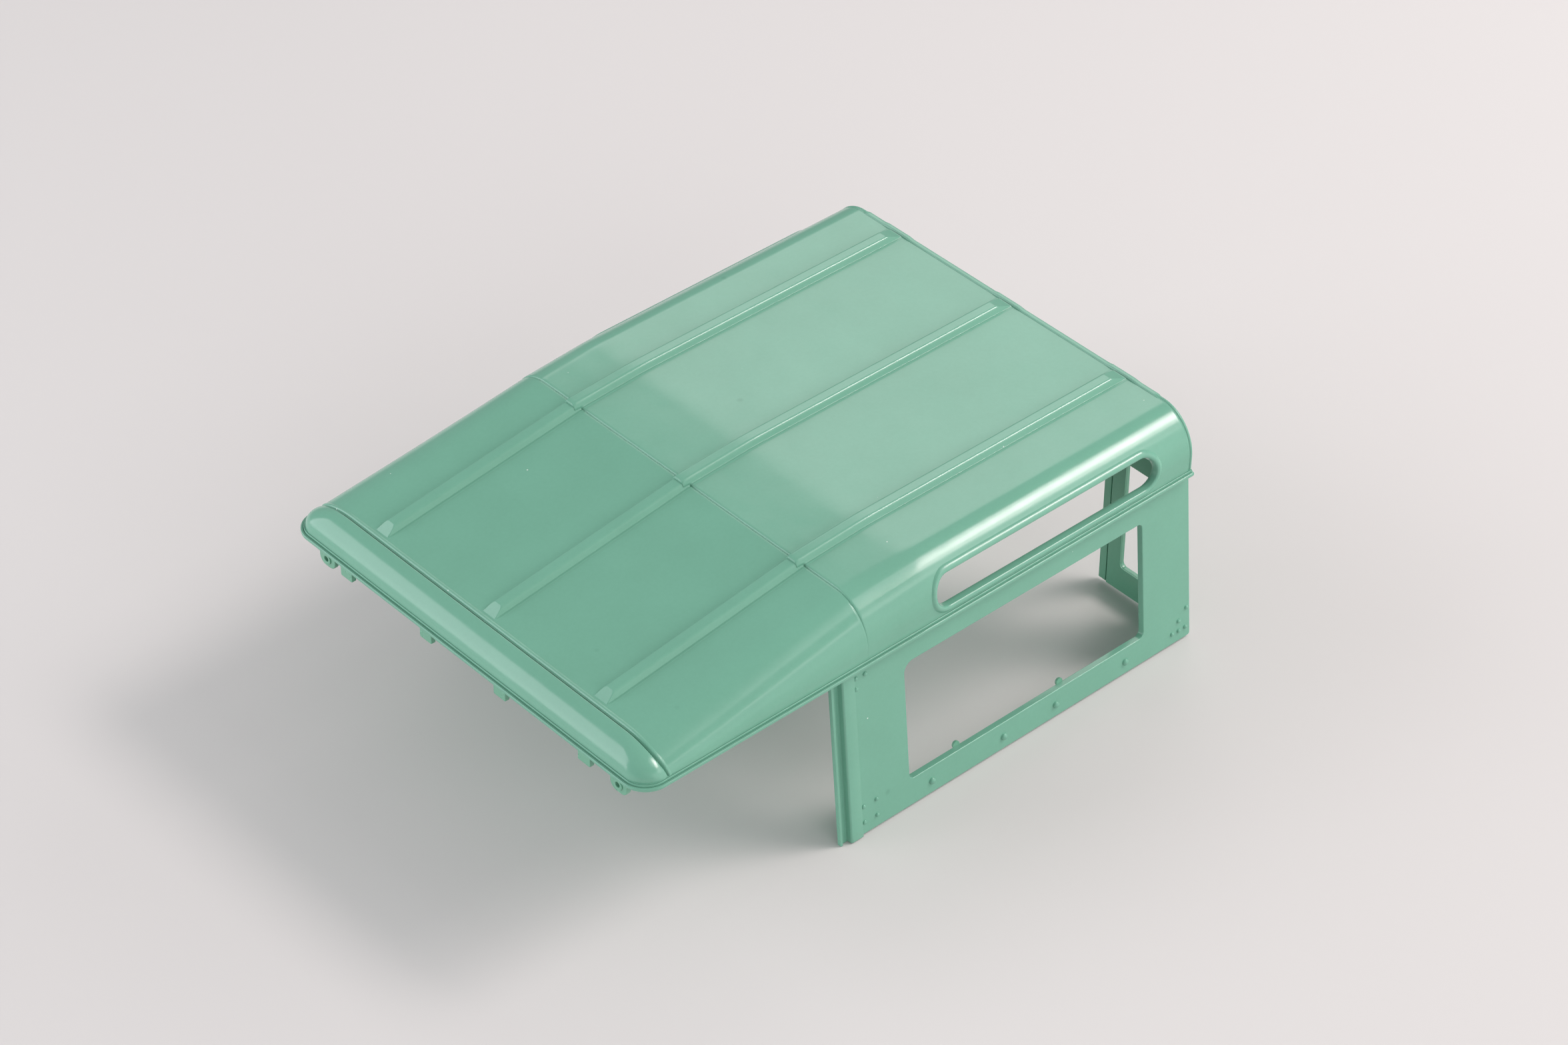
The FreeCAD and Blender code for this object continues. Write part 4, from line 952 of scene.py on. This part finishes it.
post_part = sweep(post_ring, len(s_list))
piece("left_door_post_strip", post_part, ["left_door_post"], [GREEN], 35)
piece("right_door_post_strip", mirrored(post_part), ["right_door_post"], [GREEN], 35)


# ------------------------------------------------------------------ rear corner panels
def rear_place(P):
    """u is y, v is z, and w = 0 is the face towards the load space, at x = 2."""
    return np.stack([2.0 + P[:, 2], P[:, 0], P[:, 1]], 1)


def in_y(z):
    """Inner face of the leaning side panel at height z."""
    return 75.0 - WALL / math.cos(LEAN) + TL * (SEAT - z)


panel = round_poly([(44.2, 0.9, 0.3), (45.6, 0.9, 0.2), (45.6, 0.35, 0.1), (in_y(0.35) + 0.05, 0.35, 0.0), (in_y(58.84) + 0.05, 58.84, 0.0), (44.2, 58.84, 0.0)], 4)
cw = round_poly([(52.4, 9.3, 1.6), (69.4, 9.3, 1.6), (65.6, 48.8, 1.6), (52.4, 48.8, 1.6)], 8)
back = plate([orient(panel, True), orient(cw, False)], 1.5, 0.2, lambda P: rear_place(P - np.array([0, 0, 0.45])))
layer = round_poly([(47.35, 0.5, 0.1), (in_y(0.5) - 0.05, 0.5, 0.0), (in_y(58.84) - 0.05, 58.84, 0.0), (47.35, 58.84, 0.0)], 3)
front_layer = plate([orient(layer, True), orient(inset(orient(cw, False), -0.0), False)], 0.5, 0.12, rear_place)
jamb = plate([orient(round_poly([(44.25, 0.95, 0.2), (47.0, 0.95, 0.1), (47.0, 58.84, 0.0), (44.25, 58.84, 0.0)], 3), True)], 0.5, 0.12, rear_place)
rear_corner = join(back, front_layer, jamb)
# the rear corner panels take the darker copy of the plastic: painted shade
piece("left_rear_corner_wall", rear_corner, ["left_rear_corner_panel"], [CORNER_SHADED], 40, weighted=True)
piece("right_rear_corner_wall", mirrored(rear_corner), ["right_rear_corner_panel"], [CORNER_SHADED], 40, weighted=True)


# ------------------------------------------------------------------ clip strip under the header
def clip_place(front):
    return lambda P: np.stack([front + P[:, 2], P[:, 0], P[:, 1]], 1)


bar = round_poly([(-67.5, 56.4, 0.4), (67.5, 56.4, 0.4), (67.5, 58.84, 0.0), (-67.5, 58.84, 0.0)], 3)
clip_parts = [plate([orient(bar, True)], 1.6, 0.2, clip_place(208.05))]
for c in (-63.9, 63.9):
    hole = np.array([(c + 0.9 * math.cos(2 * math.pi * k / 24), 53.2 + 0.9 * math.sin(2 * math.pi * k / 24)) for k in range(24)])
    lp = round_poly([(c - 3.55, 50.3, 2.6), (c + 3.55, 50.3, 2.6), (c + 3.55, 57.0, 0.0), (c - 3.55, 57.0, 0.0)], 8)
    clip_parts.append(plate([orient(lp, True), orient(hole, False)], 1.6, 0.3, clip_place(208.05)))
    ring_out = np.array([(c + 1.75 * math.cos(2 * math.pi * k / 32), 53.2 + 1.75 * math.sin(2 * math.pi * k / 32)) for k in range(32)])
    clip_parts.append(plate([orient(ring_out, True), orient(hole, False)], 0.6, 0.12, clip_place(208.4)))
for c in (-52.1, -16.2, 16.2, 52.1):
    lp = round_poly([(c - 2.6, 54.1, 0.5), (c + 2.6, 54.1, 0.5), (c + 2.6, 58.6, 0.0), (c - 2.6, 58.6, 0.0)], 4)
    clip_parts.append(plate([orient(lp, True)], 1.6, 0.25, clip_place(210.2)))
shelf = round_poly([(206.5, -56.0, 0.3), (210.2, -56.0, 0.3), (210.2, 56.0, 0.3), (206.5, 56.0, 0.3)], 4)
clip_parts.append(plate([orient(shelf, True)], 0.78, 0.15, lambda P: P + np.array([0, 0, SEAT - 0.02])))
foot = round_poly([(201.4, -55.0, 0.5), (207.2, -55.0, 0.2), (207.2, 55.0, 0.2), (201.4, 55.0, 0.5)], 4)
clip_parts.append(plate([orient(foot, True)], 1.58, 0.2, lambda P: P + np.array([0, 0, SEAT - 0.02])))
# the clip strip takes the darker copy of the plastic: painted shade
piece("windscreen_clip_tabs", join(*clip_parts), ["windscreen_clip_strip"], [INNER_SHADED], 40, weighted=True)

# ------------------------------------------------------------------ nodes that stay as the CAD makes them
for name, mat, b in (("rear_header_panel", GREEN, 0.2), ("left_locating_peg", GREEN, 0.2), ("right_locating_peg", GREEN, 0.2),
                     ("left_roof_screws", STEEL, 0.1), ("right_roof_screws", STEEL, 0.1)):
    ob = frame["nodes"][name]
    ob.data.materials.clear()
    ob.data.materials.append(mat)
    bv = ob.modifiers.new("soft_edges", "BEVEL")
    bv.width, bv.segments, bv.limit_method, bv.angle_limit = b * 0.001, 3, "ANGLE", math.radians(40)
    bv.harden_normals = False

# ------------------------------------------------------------------ floor
bpy.ops.mesh.primitive_plane_add(size=9.0, location=(0, 0, CAD_LO.z - 0.00003))
floor = bpy.context.object
floor.name = "studio_floor"
fm = bpy.data.materials.new("floor_paper")
fm.use_nodes = True
nt = fm.node_tree
bs = nt.nodes["Principled BSDF"]
tc = node(nt, "ShaderNodeTexCoord")
fn = node(nt, "ShaderNodeTexNoise")
fn.inputs["Scale"].default_value = 1.3
fn.inputs["Detail"].default_value = 3.0
nt.links.new(tc.outputs["Object"], fn.inputs["Vector"])
fr = node(nt, "ShaderNodeValToRGB")
fr.color_ramp.elements[0].color, fr.color_ramp.elements[1].color = (0.655, 0.642, 0.633, 1), (0.677, 0.664, 0.655, 1)
nt.links.new(fn.outputs[0], fr.inputs[0])
# painted light falloff: the paper's colour is scaled from 1.0 down to 0.87 along one diagonal of the floor, darker
# where less light reaches
painted_falloff_dir = node(nt, "ShaderNodeVectorMath")
painted_falloff_dir.operation = "DOT_PRODUCT"
painted_falloff_dir.inputs[1].default_value = (-0.72, 0.69, 0.0)
nt.links.new(tc.outputs["Object"], painted_falloff_dir.inputs[0])
painted_falloff = node(nt, "ShaderNodeMapRange")
for k, v in zip((1, 2, 3, 4), (-0.1, 0.55, 1.0, 0.87)):
    painted_falloff.inputs[k].default_value = v
nt.links.new(painted_falloff_dir.outputs["Value"], painted_falloff.inputs[0])
tint = node(nt, "ShaderNodeVectorMath")
tint.operation = "SCALE"
nt.links.new(fr.outputs[0], tint.inputs[0])
nt.links.new(painted_falloff.outputs[0], tint.inputs["Scale"])
nt.links.new(tint.outputs[0], bs.inputs["Base Color"])
bs.inputs["Roughness"].default_value = 0.9
bs.inputs["Specular IOR Level"].default_value = 0.2
floor.data.materials.append(fm)


# ------------------------------------------------------------------ lights
def panel_light(name, x0, x1, y0, y1, h, radiance, color=(1, 1, 1)):
    """A soft panel overhead, given by the directions it covers as x/z and y/z, facing down."""
    li = bpy.data.lights.new(name, "AREA")
    sx, sy = (x1 - x0) * h, (y1 - y0) * h
    li.shape, li.size, li.size_y, li.color = "RECTANGLE", sx, sy, color
    li.energy = radiance * math.pi * sx * sy
    ob = bpy.data.objects.new(name, li)
    bpy.context.scene.collection.objects.link(ob)
    ob.location = ((x0 + x1) / 2 * h, (y0 + y1) / 2 * h, h + 0.05)
    return ob


def wall_light(name, az, dist, left, right, z0, z1, radiance, color=(1, 1, 1)):
    """An upright soft panel at azimuth az, from left to right of its middle and from z0 to z1, in metres."""
    li = bpy.data.lights.new(name, "AREA")
    sx, sy = right - left, z1 - z0
    li.shape, li.size, li.size_y, li.color = "RECTANGLE", sx, sy, color
    li.energy = radiance * math.pi * sx * sy
    ob = bpy.data.objects.new(name, li)
    bpy.context.scene.collection.objects.link(ob)
    a = math.radians(az)
    out = Vector((math.cos(a), math.sin(a), 0))
    side = Vector((-math.sin(a), math.cos(a), 0))
    ob.location = out * dist + side * (left + right) / 2 + Vector((0, 0, (z0 + z1) / 2))
    ob.rotation_euler = out.to_track_quat("Z", "Y").to_euler()
    return ob


panel_light("key", -1.10, -0.64, 0.24, 0.95, 1.3, 9.6, (1.05, 0.94, 0.93))
core = panel_light("key_core", -1.02, -0.72, 0.38, 0.68, 1.29, 9.0, (1.05, 0.94, 0.93))
panel_light("key_skirt", -1.5, -0.75, 0.95, 2.0, 1.3, 2.0, (1.04, 0.97, 0.97))
panel_light("key_spill", -0.64, -0.34, 0.3, 0.75, 1.3, 2.0)
panel_light("behind", -1.45, -0.68, -1.5, -0.45, 1.3, 1.9, (1.04, 0.97, 0.97))
wall_light("left_panel", -45.0, 1.3, -0.55, 0.60, 0.01, 1.32, 2.7, (1.0, 0.98, 1.03))
wall_light("right_wall", 112.0, 1.3, -0.8, 0.8, 0.02, 0.8, 0.95)
fill = panel_light("overhead_fill", -1.0, 1.0, -1.0, 1.0, 1.5, 0.15)
fill.visible_glossy = False
fill = wall_light("side_fill", 70.0, 1.5, -0.7, 0.7, 0.25, 1.2, 2.0)
fill.visible_glossy = False
fill = wall_light("back_fill", 165.0, 1.4, -0.6, 0.6, 0.25, 1.0, 2.7)
fill.visible_glossy = False
fill = wall_light("low_fill", -15.0, 1.2, -0.5, 0.5, 0.02, 0.45, 2.8)
fill.visible_glossy = False
wd = bpy.data.worlds.new("studio")
bpy.context.scene.world = wd
wd.use_nodes = True
bg = wd.node_tree.nodes["Background"]
bg.inputs[0].default_value = (0.96, 0.98, 1.0, 1)
bg.inputs[1].default_value = 0.24

# ------------------------------------------------------------------ camera
pos = Vector((0.66483, 0.74495, 0.85326))
target = Vector((-0.03146, -0.01809, 0.02310))
fwd = (target - pos).normalized()
right = fwd.cross(Vector((0, 0, 1))).normalized()
up = right.cross(fwd)
roll = math.radians(0.537)
right2 = right * math.cos(roll) + up * math.sin(roll)
up2 = right2.cross(fwd)
cam_data = bpy.data.cameras.new("camera")
cam_data.sensor_width = 36.0
cam_data.lens = 101.8
cam_data.clip_start, cam_data.clip_end = 0.05, 30.0
cam = bpy.data.objects.new("camera", cam_data)
bpy.context.scene.collection.objects.link(cam)
M = Matrix((right2, up2, -fwd)).transposed().to_4x4()
M.translation = pos
cam.matrix_world = M
bpy.context.scene.camera = cam
bpy.context.scene.view_settings.view_transform = "Standard"
bpy.context.scene.view_settings.look = "None"
bpy.context.scene.view_settings.exposure = 0.0
bpy.context.scene.view_settings.gamma = 1.0
